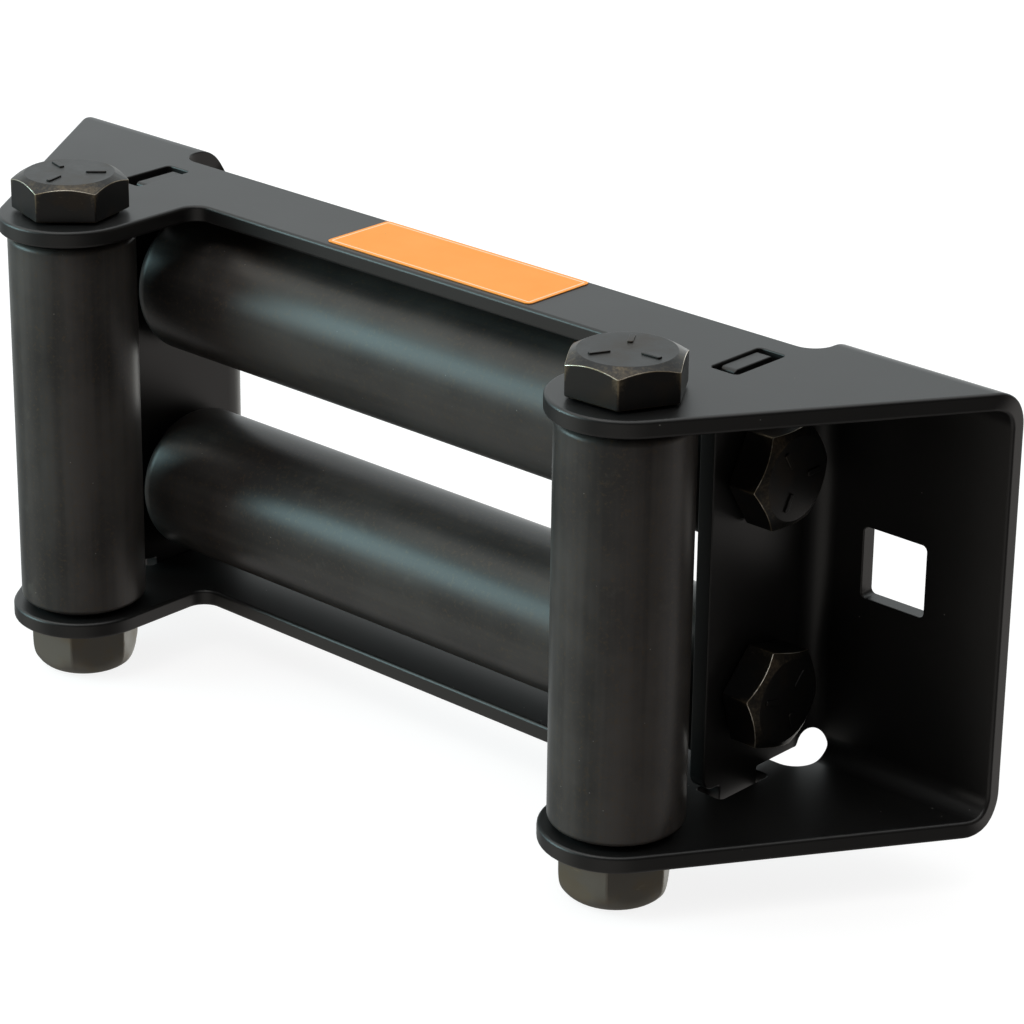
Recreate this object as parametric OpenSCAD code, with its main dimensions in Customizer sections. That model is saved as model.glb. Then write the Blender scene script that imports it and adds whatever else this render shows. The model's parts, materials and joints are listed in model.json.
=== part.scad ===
// Roller fairlead: a folded steel bracket with two vertical and two horizontal rollers on bolts.
// The origin is midway between the two mounting holes, on the mounting face.
// +X runs along the bracket, +Y points into the surface it is bolted to, and +Z is up.

/* [Mounting] */
// Distance between the centres of the two mounting holes
hole_spacing = 254; // [246:1:270]
// Width of the square mounting holes
hole_size = 18.6; // [14:0.5:20]
// Corner radius of the square mounting holes
hole_corner_r = 1.4; // [0.5:0.1:3]
// Height of the mounting holes above the middle of the bracket
hole_rise = 1.9; // [0:0.1:6]
// Sheet left between a mounting hole and the end of the bracket
end_margin = 22.5; // [15:0.5:30]

/* [Sheet] */
// Thickness of the folded sheet
sheet_t = 4.5; // [3:0.25:5.5]
// Inside radius of the flanges' folds
fold_r = 5.5; // [2:0.25:7]
// Inside radius of the cheeks' folds
cheek_fold_r = 6; // [3:0.25:7]

/* [Flanges] */
// Distance from the mounting face to the front edge of the flanges, between the ears
flange_depth = 41.6; // [36:0.2:48]
// Distance from the mounting face to the rear edge of the flanges, over the window
window_setback = 16.4; // [12:0.2:20]
// Sheet that an ear leaves around the end of its roller
ear_margin = 2.3; // [1:0.1:4]
// Radius of the inside corner where an ear meets the front edge
ear_fillet_r = 5; // [2:0.5:9]
// Distance from the mounting face to the corner where the slanting edge starts
slant_start = 7.6; // [2:0.2:12]

/* [Cheeks] */
// Width of the window between the two cheeks
window_w = 198; // [184:1:202]
// Gap between the end of a cheek and the flange
cheek_gap = 1.6; // [1:0.1:3]
// Sheet that a cheek leaves in front of the bolt head's corner
cheek_margin = 4.4; // [0.5:0.1:6]
// Corner radius of the cheek's front corners
cheek_corner_r = 4; // [1:0.5:8]
// Length of the tab on each end of a cheek
tab_len = 14.2; // [9:0.2:17]
// Distance from the mounting face to the rear edge of the tabs
tab_setback = 24.4; // [22:0.2:27]
// Depth of the tab's end below the face of the flange
tab_recess = 0.6; // [0.2:0.1:2]
// Gap between the tab and the inner long side of its slot
slot_gap_inner = 0.4; // [0.2:0.1:1]
// Gap between the tab and the outer long side of its slot
slot_gap_outer = 3.2; // [0.5:0.1:5]
// Gap between the tab and the front end of its slot
slot_gap_front = 3.3; // [0.5:0.1:5]
// Gap between the tab and the rear end of its slot
slot_gap_rear = 0.8; // [0.2:0.1:2]
// Corner radius of the slots
slot_corner_r = 1.2; // [0.3:0.1:2]

/* [Window corners] */
// Sheet between the cheek's fold and the corner notch
notch_margin = 0.6; // [0.2:0.1:4]
// Corner radius of the notch in the flange
notch_r = 6; // [3:0.5:8]
// Radius of the round relief in the notch's corner
relief_r = 5.2; // [4.5:0.1:5.8]
// Distance of the relief's edge inside the notch's side
relief_inset = 1; // [0:0.1:2]
// Height of the relief's centre above the end of the cheek
relief_rise = 0.9; // [0.3:0.1:2]

/* [Rollers] */
// Diameter of the vertical rollers
v_roller_d = 33.4; // [30:0.2:40]
// Diameter of the horizontal rollers
h_roller_d = 39.4; // [32:0.2:46]
// Gap for the rope between the two horizontal rollers
rope_gap = 18.5; // [8:0.5:30]
// Gap between the horizontal rollers and the flanges
flange_gap = 3.9; // [2:0.1:8]
// Gap between the vertical and the horizontal rollers, front to back
cross_gap = 5; // [1:0.1:9]
// Distance from the mounting face to the back of the horizontal rollers
roller_recess = 7; // [3:0.1:12]
// Distance of the vertical rollers' axes inside the cheeks' inner faces
v_axis_inset = 3.2; // [0:0.1:6]
// Edge radius of the vertical rollers' ends
v_round_r = 1.6; // [0.5:0.1:2.5]
// Edge radius of the horizontal rollers' ends
h_round_r = 5; // [1:0.1:5.5]

/* [Bushes] */
// Outer diameter of the bushes, and the bore of the rollers
bush_d = 24; // [21:0.2:25]
// Length of a bush inside its roller
bush_len = 20; // [10:0.5:30]
// Thickness of a bush's flange
bush_flange_t = 1; // [0.6:0.1:2]
// Width of a bush's flange around the bush
bush_flange_w = 2; // [1:0.1:2.2]

/* [Bolts and nuts] */
// Diameter of the bolts
bolt_d = 16; // [12:0.5:18]
// Width across the flats of the vertical bolts' heads
v_head_af = 26.6; // [24:0.1:28]
// Width across the flats of the horizontal bolts' heads
h_head_af = 24; // [22:0.1:26]
// Width across the flats of the vertical bolts' nuts
v_nut_af = 25.6; // [24:0.1:28]
// Width across the flats of the horizontal bolts' nuts
h_nut_af = 24; // [23:0.1:26]
// Height of the bolt heads
head_h = 10.4; // [7:0.1:13]
// Height of the nuts' hexagons
nut_hex_h = 10.4; // [7:0.1:13]
// Height of the nuts' round collars
nut_collar_h = 3.6; // [2.5:0.1:5]
// Length of the chamfer on the bolts' ends
bolt_chamfer = 1.5; // [0.5:0.1:2.5]
// Depth of the bolts' ends inside the nuts' collars
bolt_end_depth = 0.4; // [0.2:0.1:1]
// Height of the raised grade marks on the heads
mark_h = 0.4; // [0.2:0.1:0.8]
// Turn of the left vertical bolt's head
left_head_turn = 44; // [0:0.5:60]
// Turn of the right vertical bolt's head
right_head_turn = 3.5; // [0:0.5:60]
// Turn of the upper horizontal bolt's head
upper_head_turn = 2; // [0:0.5:60]
// Turn of the lower horizontal bolt's head
lower_head_turn = 46; // [0:0.5:60]
// Turn of the vertical bolts' nuts
v_nut_turn = 3.5; // [0:0.5:60]

/* [Label] */
// Length of the label along the flange
label_len = 70; // [40:1:100]
// Distance of the label's middle to the right of the bracket's middle
label_offset = 4.6; // [-10:0.2:10]
// Gap between the label and the front edge of the flange
label_gap_front = 2.1; // [0.5:0.1:5]
// Gap between the label and the rear edge of the flange
label_gap_rear = 0.6; // [0.2:0.1:5]
// Corner radius of the label
label_corner_r = 1.5; // [0.5:0.1:4]
// Thickness of the label
label_t = 0.25; // [0.1:0.05:0.5]

/* [Clearances] */
// Radial running clearance of a bush on its bolt
run_clear = 0.08; // [0.02:0.01:0.1]
// Radial clearance of a bush in its roller
bush_clear = 0.02; // [0.01:0.01:0.05]
// End play between a bush's flange and the bracket
end_play = 0.25; // [0.1:0.05:0.6]
// Radial clearance of the bolts in the bracket
bolt_clear = 0.5; // [0.2:0.1:1]
// Radial clearance of the nuts and their nylon rings on the bolts
thread_clear = 0.05; // [0.02:0.01:0.1]
// Least gap between a bolt head's corner and the cheek's fold
head_clear = 0.5; // [0.2:0.1:2]

/* [Hidden] */
$fn = 96;
LEFT = -1;
RIGHT = 1;
LOWER = -1;
UPPER = 1;
SIDES = [LEFT, RIGHT];
LEVELS = [LOWER, UPPER];
// Overlap that lets a cut run past a face
past = 1;

// Hexagons of the bolt heads and nuts
h_head_corner_r = h_head_af / 2 / cos(30);
head_flat_share = 0.88;
hex_chamfer_angle = 30;
mark_count = 3;
mark_w = 1.4;
mark_inner_share = 0.16;
mark_outer_share = 0.36;

// Folds
fold_out_r = fold_r + sheet_t;
cheek_fold_out_r = cheek_fold_r + sheet_t;

// Places of the roller axes, measured from the middle of the bracket
h_axis_y = -max(roller_recess + h_roller_d / 2, cheek_fold_out_r + h_head_corner_r + head_clear);
h_axis_z = rope_gap / 2 + h_roller_d / 2;
v_axis_x = window_w / 2 - v_axis_inset;
v_axis_y = h_axis_y - h_roller_d / 2 - cross_gap - v_roller_d / 2;

// Bracket
bracket_w = hole_spacing + hole_size + 2 * end_margin;
inside_h = rope_gap + 2 * (h_roller_d + flange_gap);
bracket_h = inside_h + 2 * sheet_t;
ear_r = v_roller_d / 2 + ear_margin;
ear_inner_x = v_axis_x - ear_r;
bracket_front = -v_axis_y + ear_r;
cheek_inner_x = window_w / 2;
cheek_outer_x = cheek_inner_x + sheet_t;
cheek_half_h = inside_h / 2 - cheek_gap;
cheek_front = -h_axis_y + h_head_corner_r + cheek_margin;
fold_centre_x = cheek_inner_x + cheek_fold_out_r;
notch_x = fold_centre_x + notch_margin;
relief_x = notch_x - relief_inset - relief_r;
relief_z = cheek_half_h + relief_rise;
tab_top = bracket_h / 2 - tab_recess;
slot_w = slot_gap_inner + sheet_t + slot_gap_outer;
slot_len = slot_gap_rear + tab_len + slot_gap_front;
slot_x = cheek_inner_x - slot_gap_inner + slot_w / 2;
slot_y = -tab_setback + slot_gap_rear - slot_len / 2;

// Rollers and bushes
bush_room = bush_flange_t + end_play;
v_roller_len = inside_h - 2 * bush_room;
h_roller_len = window_w - 2 * bush_room;
bush_bore_r = bolt_d / 2 + run_clear;

// Bolts and nuts
nut_h = nut_hex_h + nut_collar_h;
nut_bore_r = bolt_d / 2 + thread_clear;
collar_share = 0.97;
collar_step = 0.2;
collar_round_r = 2.2;
ring_r = bolt_d / 2 + 2;
lip_t = 0.7;
lip_r = bolt_d / 2 + 0.8;
ring_h = nut_collar_h - lip_t;
v_bolt_len = bracket_h + nut_h - bolt_end_depth;
h_bolt_len = 2 * cheek_outer_x + nut_h - bolt_end_depth;

// Label
label_w = flange_depth - label_gap_front - window_setback - label_gap_rear;
label_y = -window_setback - label_gap_rear - label_w / 2;

// Point where a line from a point touches a circle, on its clockwise side
function tangent_point(from, centre, r) =
    let (
        away = from - centre,
        turn = atan2(away[1], away[0]) - acos(r / norm(away))
    )
    centre + r * [cos(turn), sin(turn)];

// Rectangle about the origin with round corners
module round_rect(w, h, r) {
    square([w - 2 * r, h], center = true);
    square([w, h - 2 * r], center = true);
    for (x = [-1, 1], y = [-1, 1])
        translate([x * (w / 2 - r), y * (h / 2 - r)])
            circle(r);
}

// Upright block from a flat shape, between two heights
module slab(low, high) {
    translate([0, 0, low])
        linear_extrude(high - low)
            children();
}

// Block along X from a shape drawn in the side view, Y to the right and Z up
module along_x(low, high) {
    translate([low, 0, 0])
        rotate([90, 0, 90])
            linear_extrude(high - low)
                children();
}

// Places its children at a vertical roller, with Z along the roller's axis
module at_vertical(side) {
    translate([side * v_axis_x, v_axis_y, -hole_rise])
        children();
}

// Places its children at a horizontal roller, with Z along the roller's axis
module at_horizontal(level) {
    translate([0, h_axis_y, level * h_axis_z - hole_rise])
        rotate([0, 90, 0])
            children();
}

// Side view of a channel's outer or inner face, open to the front, with two round rear corners
module channel_face(depth, h, r) {
    translate([-depth, -h / 2])
        square([depth - r, h]);
    translate([-r - past, -(h / 2 - r)])
        square([r + past, h - 2 * r]);
    for (level = LEVELS)
        translate([-r, level * (h / 2 - r)])
            circle(r);
}

// Side view of the folded channel
module channel_profile() {
    depth = bracket_front + past;
    difference() {
        channel_face(depth, bracket_h, fold_out_r);
        translate([-sheet_t, 0])
            channel_face(depth, inside_h, fold_r);
    }
}

// Right half of the flange's outline from above
module half_outline() {
    ear = [v_axis_x, v_axis_y];
    corner = [bracket_w / 2, -slant_start];
    polygon([
        [0, 0],
        [bracket_w / 2, 0],
        corner,
        tangent_point(corner, ear, ear_r),
        ear,
        [ear_inner_x, v_axis_y],
        [ear_inner_x, -flange_depth],
        [0, -flange_depth]
    ]);
    translate(ear)
        circle(ear_r);
    difference() {
        translate([ear_inner_x - ear_fillet_r, -flange_depth - ear_fillet_r])
            square(ear_fillet_r + past / 2);
        translate([ear_inner_x - ear_fillet_r, -flange_depth - ear_fillet_r])
            circle(ear_fillet_r);
    }
}

// Outline of the bracket from above
module plan_outline() {
    half_outline();
    mirror([1, 0])
        half_outline();
}

// Window behind the flanges, with its round corners, from above
module window_outline() {
    translate([0, -window_setback / 2 + past])
        square([2 * (notch_x - notch_r), window_setback + 2 * past], center = true);
    translate([-notch_x, -window_setback + notch_r])
        square([2 * notch_x, window_setback - notch_r + 2 * past]);
    for (side = SIDES)
        translate([side * (notch_x - notch_r), -window_setback + notch_r])
            circle(notch_r);
}

// Right cheek and its fold from above, with a strip of the mounting pad
module cheek_section() {
    translate([cheek_inner_x, -cheek_front])
        square([sheet_t, cheek_front - cheek_fold_out_r]);
    translate([fold_centre_x, -sheet_t])
        square([notch_margin + past, sheet_t]);
    intersection() {
        translate([fold_centre_x, -cheek_fold_out_r])
            difference() {
                circle(cheek_fold_out_r);
                circle(cheek_fold_r);
            }
        translate([cheek_inner_x, -cheek_fold_out_r])
            square(cheek_fold_out_r);
    }
}

// Side view of a cheek, with its round front corners and its two tabs
module cheek_profile() {
    length = cheek_front + past;
    translate([-cheek_front + length / 2, 0])
        round_rect(length, 2 * cheek_half_h, cheek_corner_r);
    translate([-cheek_front / 2, -cheek_half_h])
        square([cheek_front / 2 + past, 2 * cheek_half_h]);
    translate([-tab_setback - tab_len, -tab_top])
        square([tab_len, 2 * tab_top]);
}

// Right cheek, folded forward from the mounting pad
module cheek() {
    intersection() {
        slab(-bracket_h / 2, bracket_h / 2)
            cheek_section();
        along_x(0, bracket_w / 2)
            cheek_profile();
    }
}

// Cuts in the right half of the bracket: tab slots, corner reliefs, bolt holes and the mounting hole
module half_cuts() {
    for (level = LEVELS) {
        translate([relief_x, past, level * relief_z])
            rotate([90, 0, 0])
                cylinder(h = cheek_fold_out_r + 2 * past, r = relief_r);
        translate([0, h_axis_y, level * h_axis_z])
            rotate([0, 90, 0])
                cylinder(h = cheek_outer_x + past, d = bolt_d + 2 * bolt_clear);
    }
    translate([v_axis_x, v_axis_y, -bracket_h / 2 - past])
        cylinder(h = bracket_h + 2 * past, d = bolt_d + 2 * bolt_clear);
    translate([hole_spacing / 2, past, hole_rise])
        rotate([90, 0, 0])
            linear_extrude(sheet_t + 2 * past)
                round_rect(hole_size, hole_size, hole_corner_r);
}

// Slots in the right half of both flanges
module half_slots() {
    translate([slot_x, slot_y, 0])
        slab(-bracket_h / 2 - past, bracket_h / 2 + past)
            round_rect(slot_w, slot_len, slot_corner_r);
}

// Runs its children in the right half and mirrored in the left half
module both_halves() {
    children();
    mirror([1, 0, 0])
        children();
}

// Folded sheet bracket
module bracket() {
    color("#1b1c1d")
        translate([0, 0, -hole_rise])
            difference() {
                union() {
                    difference() {
                        intersection() {
                            along_x(-bracket_w / 2, bracket_w / 2)
                                channel_profile();
                            slab(-bracket_h / 2, bracket_h / 2)
                                plan_outline();
                        }
                        slab(-bracket_h / 2 - past, bracket_h / 2 + past)
                            window_outline();
                        both_halves()
                            half_slots();
                    }
                    both_halves()
                        cheek();
                }
                both_halves()
                    half_cuts();
            }
}

// Half section of a bar with round outer edges, along Y about the origin
module bar_section(d, len, round_r) {
    translate([0, -len / 2])
        square([d / 2 - round_r, len]);
    translate([0, -len / 2 + round_r])
        square([d / 2, len - 2 * round_r]);
    for (end = [-1, 1])
        translate([d / 2 - round_r, end * (len / 2 - round_r)])
            circle(round_r);
}

// Tube with round outer edges, along Z about the origin
module roller_tube(d, len, round_r) {
    rotate_extrude()
        intersection() {
            bar_section(d, len, round_r);
            translate([bush_d / 2, -len / 2])
                square([d / 2, len]);
        }
}

// Vertical roller
module vertical_roller(side) {
    color("#232527")
        at_vertical(side)
            roller_tube(v_roller_d, v_roller_len, v_round_r);
}

// Horizontal roller
module horizontal_roller(level) {
    color("#232527")
        at_horizontal(level)
            roller_tube(h_roller_d, h_roller_len, h_round_r);
}

// Flanged bush with the flange's inner face at Z 0 and the sleeve below it
module flanged_bush() {
    difference() {
        union() {
            translate([0, 0, -bush_len])
                cylinder(h = bush_len, d = bush_d - 2 * bush_clear);
            cylinder(h = bush_flange_t, d = bush_d + 2 * bush_flange_w);
        }
        translate([0, 0, -bush_len - past])
            cylinder(h = bush_len + bush_flange_t + 2 * past, r = bush_bore_r);
    }
}

// Flanged bush in one end of a roller that lies along Z
module bush_at_end(roller_len, end) {
    color("#2c2c2d")
        rotate([0, end > 0 ? 0 : 180, 0])
            translate([0, 0, roller_len / 2])
                flanged_bush();
}

// Bush in the upper or lower end of a vertical roller
module vertical_bush(side, level) {
    at_vertical(side)
        bush_at_end(v_roller_len, level);
}

// Bush in the left or right end of a horizontal roller
module horizontal_bush(level, side) {
    at_horizontal(level)
        bush_at_end(h_roller_len, side);
}

// Hexagonal prism on Z 0, with its upper corners cut by a cone that leaves a round face
module chamfered_hex(af, h, flat_r) {
    corner_r = af / 2 / cos(30);
    wide_r = corner_r + past;
    intersection() {
        cylinder(h = h, r = corner_r, $fn = 6);
        rotate_extrude()
            polygon([
                [0, 0],
                [wide_r, 0],
                [wide_r, h - (wide_r - flat_r) * tan(hex_chamfer_angle)],
                [flat_r, h],
                [0, h]
            ]);
    }
}

// Hex bolt with its head on Z 0 and its shank below, with plain raised marks on the head
module hex_bolt(len, af, turn) {
    mark_inner_r = af * mark_inner_share;
    mark_outer_r = af * mark_outer_share;
    rotate([0, 0, turn]) {
        chamfered_hex(af, head_h, af / 2 * head_flat_share);
        for (i = [0 : mark_count - 1])
            rotate([0, 0, i * 360 / mark_count])
                translate([mark_inner_r, -mark_w / 2, head_h - past])
                    cube([mark_outer_r - mark_inner_r, mark_w, past + mark_h]);
    }
    rotate_extrude()
        polygon([
            [0, -len],
            [bolt_d / 2 - bolt_chamfer, -len],
            [bolt_d / 2, -len + bolt_chamfer],
            [bolt_d / 2, past],
            [0, past]
        ]);
}

// Bolt that a vertical roller turns on
module vertical_bolt(side) {
    color("#2a2724")
        at_vertical(side)
            translate([0, 0, bracket_h / 2])
                hex_bolt(v_bolt_len, v_head_af, side == LEFT ? left_head_turn : right_head_turn);
}

// Bolt that a horizontal roller turns on
module horizontal_bolt(level) {
    color("#2a2724")
        at_horizontal(level)
            translate([0, 0, cheek_outer_x])
                hex_bolt(h_bolt_len, h_head_af, 90 + (level == UPPER ? upper_head_turn : lower_head_turn));
}

// Lock nut with its seat on Z 0, its hexagon above and a round collar on top
module lock_nut(af, turn = 0) {
    collar_r = af / 2 * collar_share;
    difference() {
        union() {
            rotate([0, 0, turn])
                chamfered_hex(af, nut_hex_h, collar_r + collar_step);
            rotate_extrude() {
                translate([0, nut_hex_h - past])
                    square([collar_r, past + nut_collar_h - collar_round_r]);
                translate([0, nut_hex_h - past])
                    square([collar_r - collar_round_r, past + nut_collar_h]);
                translate([collar_r - collar_round_r, nut_h - collar_round_r])
                    intersection() {
                        circle(collar_round_r);
                        square(collar_round_r);
                    }
            }
        }
        translate([0, 0, -past])
            cylinder(h = nut_hex_h + 2 * past, r = nut_bore_r);
        translate([0, 0, nut_hex_h])
            cylinder(h = ring_h, r = ring_r);
        translate([0, 0, nut_hex_h])
            cylinder(h = nut_collar_h + past, r = lip_r);
    }
}

// Nylon ring in a lock nut's collar
module nut_ring() {
    translate([0, 0, nut_hex_h])
        difference() {
            cylinder(h = ring_h, r = ring_r);
            translate([0, 0, -past])
                cylinder(h = ring_h + 2 * past, r = nut_bore_r);
        }
}

// Places a nut's parts on the underside of the bottom flange
module under_flange(side) {
    at_vertical(side)
        translate([0, 0, -bracket_h / 2])
            mirror([0, 0, 1])
                children();
}

// Places a nut's parts on the outer face of the left cheek
module outside_cheek(level) {
    at_horizontal(level)
        translate([0, 0, -cheek_outer_x])
            mirror([0, 0, 1])
                children();
}

// Lock nut of a vertical bolt
module vertical_nut(side) {
    color("#2a2724")
        under_flange(side)
            lock_nut(v_nut_af, v_nut_turn);
}

// Lock nut of a horizontal bolt
module horizontal_nut(level) {
    color("#2a2724")
        outside_cheek(level)
            lock_nut(h_nut_af);
}

// Nylon ring of a vertical bolt's nut
module vertical_nut_ring(side) {
    color("#e4e2da")
        under_flange(side)
            nut_ring();
}

// Nylon ring of a horizontal bolt's nut
module horizontal_nut_ring(level) {
    color("#e4e2da")
        outside_cheek(level)
            nut_ring();
}

// Blank vinyl label on the top flange
module label() {
    color("#f58a3c")
        translate([label_offset, label_y, bracket_h / 2 - hole_rise])
            linear_extrude(label_t)
                round_rect(label_len, label_w, label_corner_r);
}

bracket();
vertical_roller(LEFT);  // left_vertical_roller
vertical_roller(RIGHT);  // right_vertical_roller
horizontal_roller(UPPER);  // upper_horizontal_roller
horizontal_roller(LOWER);  // lower_horizontal_roller
vertical_bush(LEFT, UPPER);  // left_vertical_upper_bush
vertical_bush(LEFT, LOWER);  // left_vertical_lower_bush
vertical_bush(RIGHT, UPPER);  // right_vertical_upper_bush
vertical_bush(RIGHT, LOWER);  // right_vertical_lower_bush
horizontal_bush(UPPER, LEFT);  // upper_horizontal_left_bush
horizontal_bush(UPPER, RIGHT);  // upper_horizontal_right_bush
horizontal_bush(LOWER, LEFT);  // lower_horizontal_left_bush
horizontal_bush(LOWER, RIGHT);  // lower_horizontal_right_bush
vertical_bolt(LEFT);  // left_vertical_bolt
vertical_bolt(RIGHT);  // right_vertical_bolt
horizontal_bolt(UPPER);  // upper_horizontal_bolt
horizontal_bolt(LOWER);  // lower_horizontal_bolt
vertical_nut(LEFT);  // left_vertical_nut
vertical_nut(RIGHT);  // right_vertical_nut
horizontal_nut(UPPER);  // upper_horizontal_nut
horizontal_nut(LOWER);  // lower_horizontal_nut
vertical_nut_ring(LEFT);  // left_vertical_nut_ring
vertical_nut_ring(RIGHT);  // right_vertical_nut_ring
horizontal_nut_ring(UPPER);  // upper_horizontal_nut_ring
horizontal_nut_ring(LOWER);  // lower_horizontal_nut_ring
label();
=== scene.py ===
"""Roller fairlead: a folded bracket, four rollers on their bolts, lock nuts and a blank label.

The scene is in the CAD model's frame: X runs across the bracket, -Y is where the rope leaves and +Z is up.
Sizes are in millimetres, and a piece turns into metres when its mesh is made.
"""

import json
import logging
import math
from dataclasses import dataclass, field
from enum import Enum
from typing import Callable, Optional, Sequence, Union

import bpy
import numpy as np
from mathutils import Matrix, Vector
from mathutils.geometry import delaunay_2d_cdt


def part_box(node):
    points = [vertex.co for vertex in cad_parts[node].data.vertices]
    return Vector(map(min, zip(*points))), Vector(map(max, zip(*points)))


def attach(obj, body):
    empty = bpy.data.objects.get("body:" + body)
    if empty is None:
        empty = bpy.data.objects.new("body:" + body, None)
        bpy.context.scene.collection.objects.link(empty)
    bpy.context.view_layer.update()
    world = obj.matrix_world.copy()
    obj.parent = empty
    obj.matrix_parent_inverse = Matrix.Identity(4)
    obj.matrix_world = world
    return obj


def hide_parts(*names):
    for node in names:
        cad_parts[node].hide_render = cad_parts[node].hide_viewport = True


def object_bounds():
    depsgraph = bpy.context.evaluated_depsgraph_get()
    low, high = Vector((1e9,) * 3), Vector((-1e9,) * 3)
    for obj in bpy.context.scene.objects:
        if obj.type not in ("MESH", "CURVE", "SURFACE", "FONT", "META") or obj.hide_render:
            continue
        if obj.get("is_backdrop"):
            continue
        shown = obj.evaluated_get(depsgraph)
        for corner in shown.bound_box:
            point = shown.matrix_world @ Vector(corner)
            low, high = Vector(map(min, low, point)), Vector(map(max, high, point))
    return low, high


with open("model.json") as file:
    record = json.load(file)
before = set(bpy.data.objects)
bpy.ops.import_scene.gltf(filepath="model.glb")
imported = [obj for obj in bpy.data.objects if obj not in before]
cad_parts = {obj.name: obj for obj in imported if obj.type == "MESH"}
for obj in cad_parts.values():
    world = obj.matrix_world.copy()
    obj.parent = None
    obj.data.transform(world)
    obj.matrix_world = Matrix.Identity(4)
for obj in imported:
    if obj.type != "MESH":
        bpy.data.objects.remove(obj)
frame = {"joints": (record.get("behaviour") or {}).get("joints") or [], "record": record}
log = logging.getLogger("fairlead")

MM = 0.001
FRAME_BODY = "frame"
TINY = 1e-6
Point = tuple[float, float]
Colour = tuple[float, float, float]


class Side(Enum):
    """The two ends of the bracket."""

    LEFT = -1
    RIGHT = 1


class Level(Enum):
    """The two flanges, and the two horizontal rollers."""

    LOWER = -1
    UPPER = 1


class Axle(Enum):
    """The four bolts that the rollers turn on, by the first part of their nodes' names."""

    LEFT_VERTICAL = "left_vertical"
    RIGHT_VERTICAL = "right_vertical"
    UPPER_HORIZONTAL = "upper_horizontal"
    LOWER_HORIZONTAL = "lower_horizontal"

    @property
    def stands(self) -> bool:
        """Whether the bolt stands upright."""
        return self in (Axle.LEFT_VERTICAL, Axle.RIGHT_VERTICAL)

    @property
    def bushes(self) -> tuple[str, str]:
        """The nodes of the bushes at the low and the high end of the roller."""
        low, high = ("lower", "upper") if self.stands else ("left", "right")
        return f"{self.value}_{low}_bush", f"{self.value}_{high}_bush"


@dataclass(frozen=True)
class NodeBox:
    """A CAD node's box in millimetres."""

    low: Vector
    high: Vector

    @classmethod
    def of(cls, node: str) -> "NodeBox":
        """Reads a node's box.

        Args:
            node: The node's name.

        Returns:
            The box in the row's frame.
        """
        low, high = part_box(node)
        return cls(low / MM, high / MM)

    @property
    def middle(self) -> Vector:
        """The middle of the box."""
        return (self.low + self.high) / 2

    @property
    def size(self) -> Vector:
        """The lengths of the box's sides."""
        return self.high - self.low


class Socket:
    """One output of a node, which takes part in Python expressions."""

    def __init__(self, bench: "Bench", output: bpy.types.NodeSocket) -> None:
        """Keeps the output and the bench that it belongs to."""
        self.bench = bench
        self.output = output

    def other(self, name: str) -> "Socket":
        """Gives another output of the same node."""
        return Socket(self.bench, self.output.node.outputs[name])

    def __add__(self, other: "Value") -> "Socket":
        """Adds a value."""
        return self.bench.math("ADD", self, other)

    def __radd__(self, other: "Value") -> "Socket":
        """Is added to a value."""
        return self.bench.math("ADD", other, self)

    def __sub__(self, other: "Value") -> "Socket":
        """Takes a value away."""
        return self.bench.math("SUBTRACT", self, other)

    def __rsub__(self, other: "Value") -> "Socket":
        """Is taken away from a value."""
        return self.bench.math("SUBTRACT", other, self)

    def __mul__(self, other: "Value") -> "Socket":
        """Multiplies by a value."""
        return self.bench.math("MULTIPLY", self, other)

    def __rmul__(self, other: "Value") -> "Socket":
        """Multiplies a value."""
        return self.bench.math("MULTIPLY", other, self)

    def __abs__(self) -> "Socket":
        """Drops the sign."""
        return self.bench.math("ABSOLUTE", self)


Value = Union[Socket, float, Sequence[float]]


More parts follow.
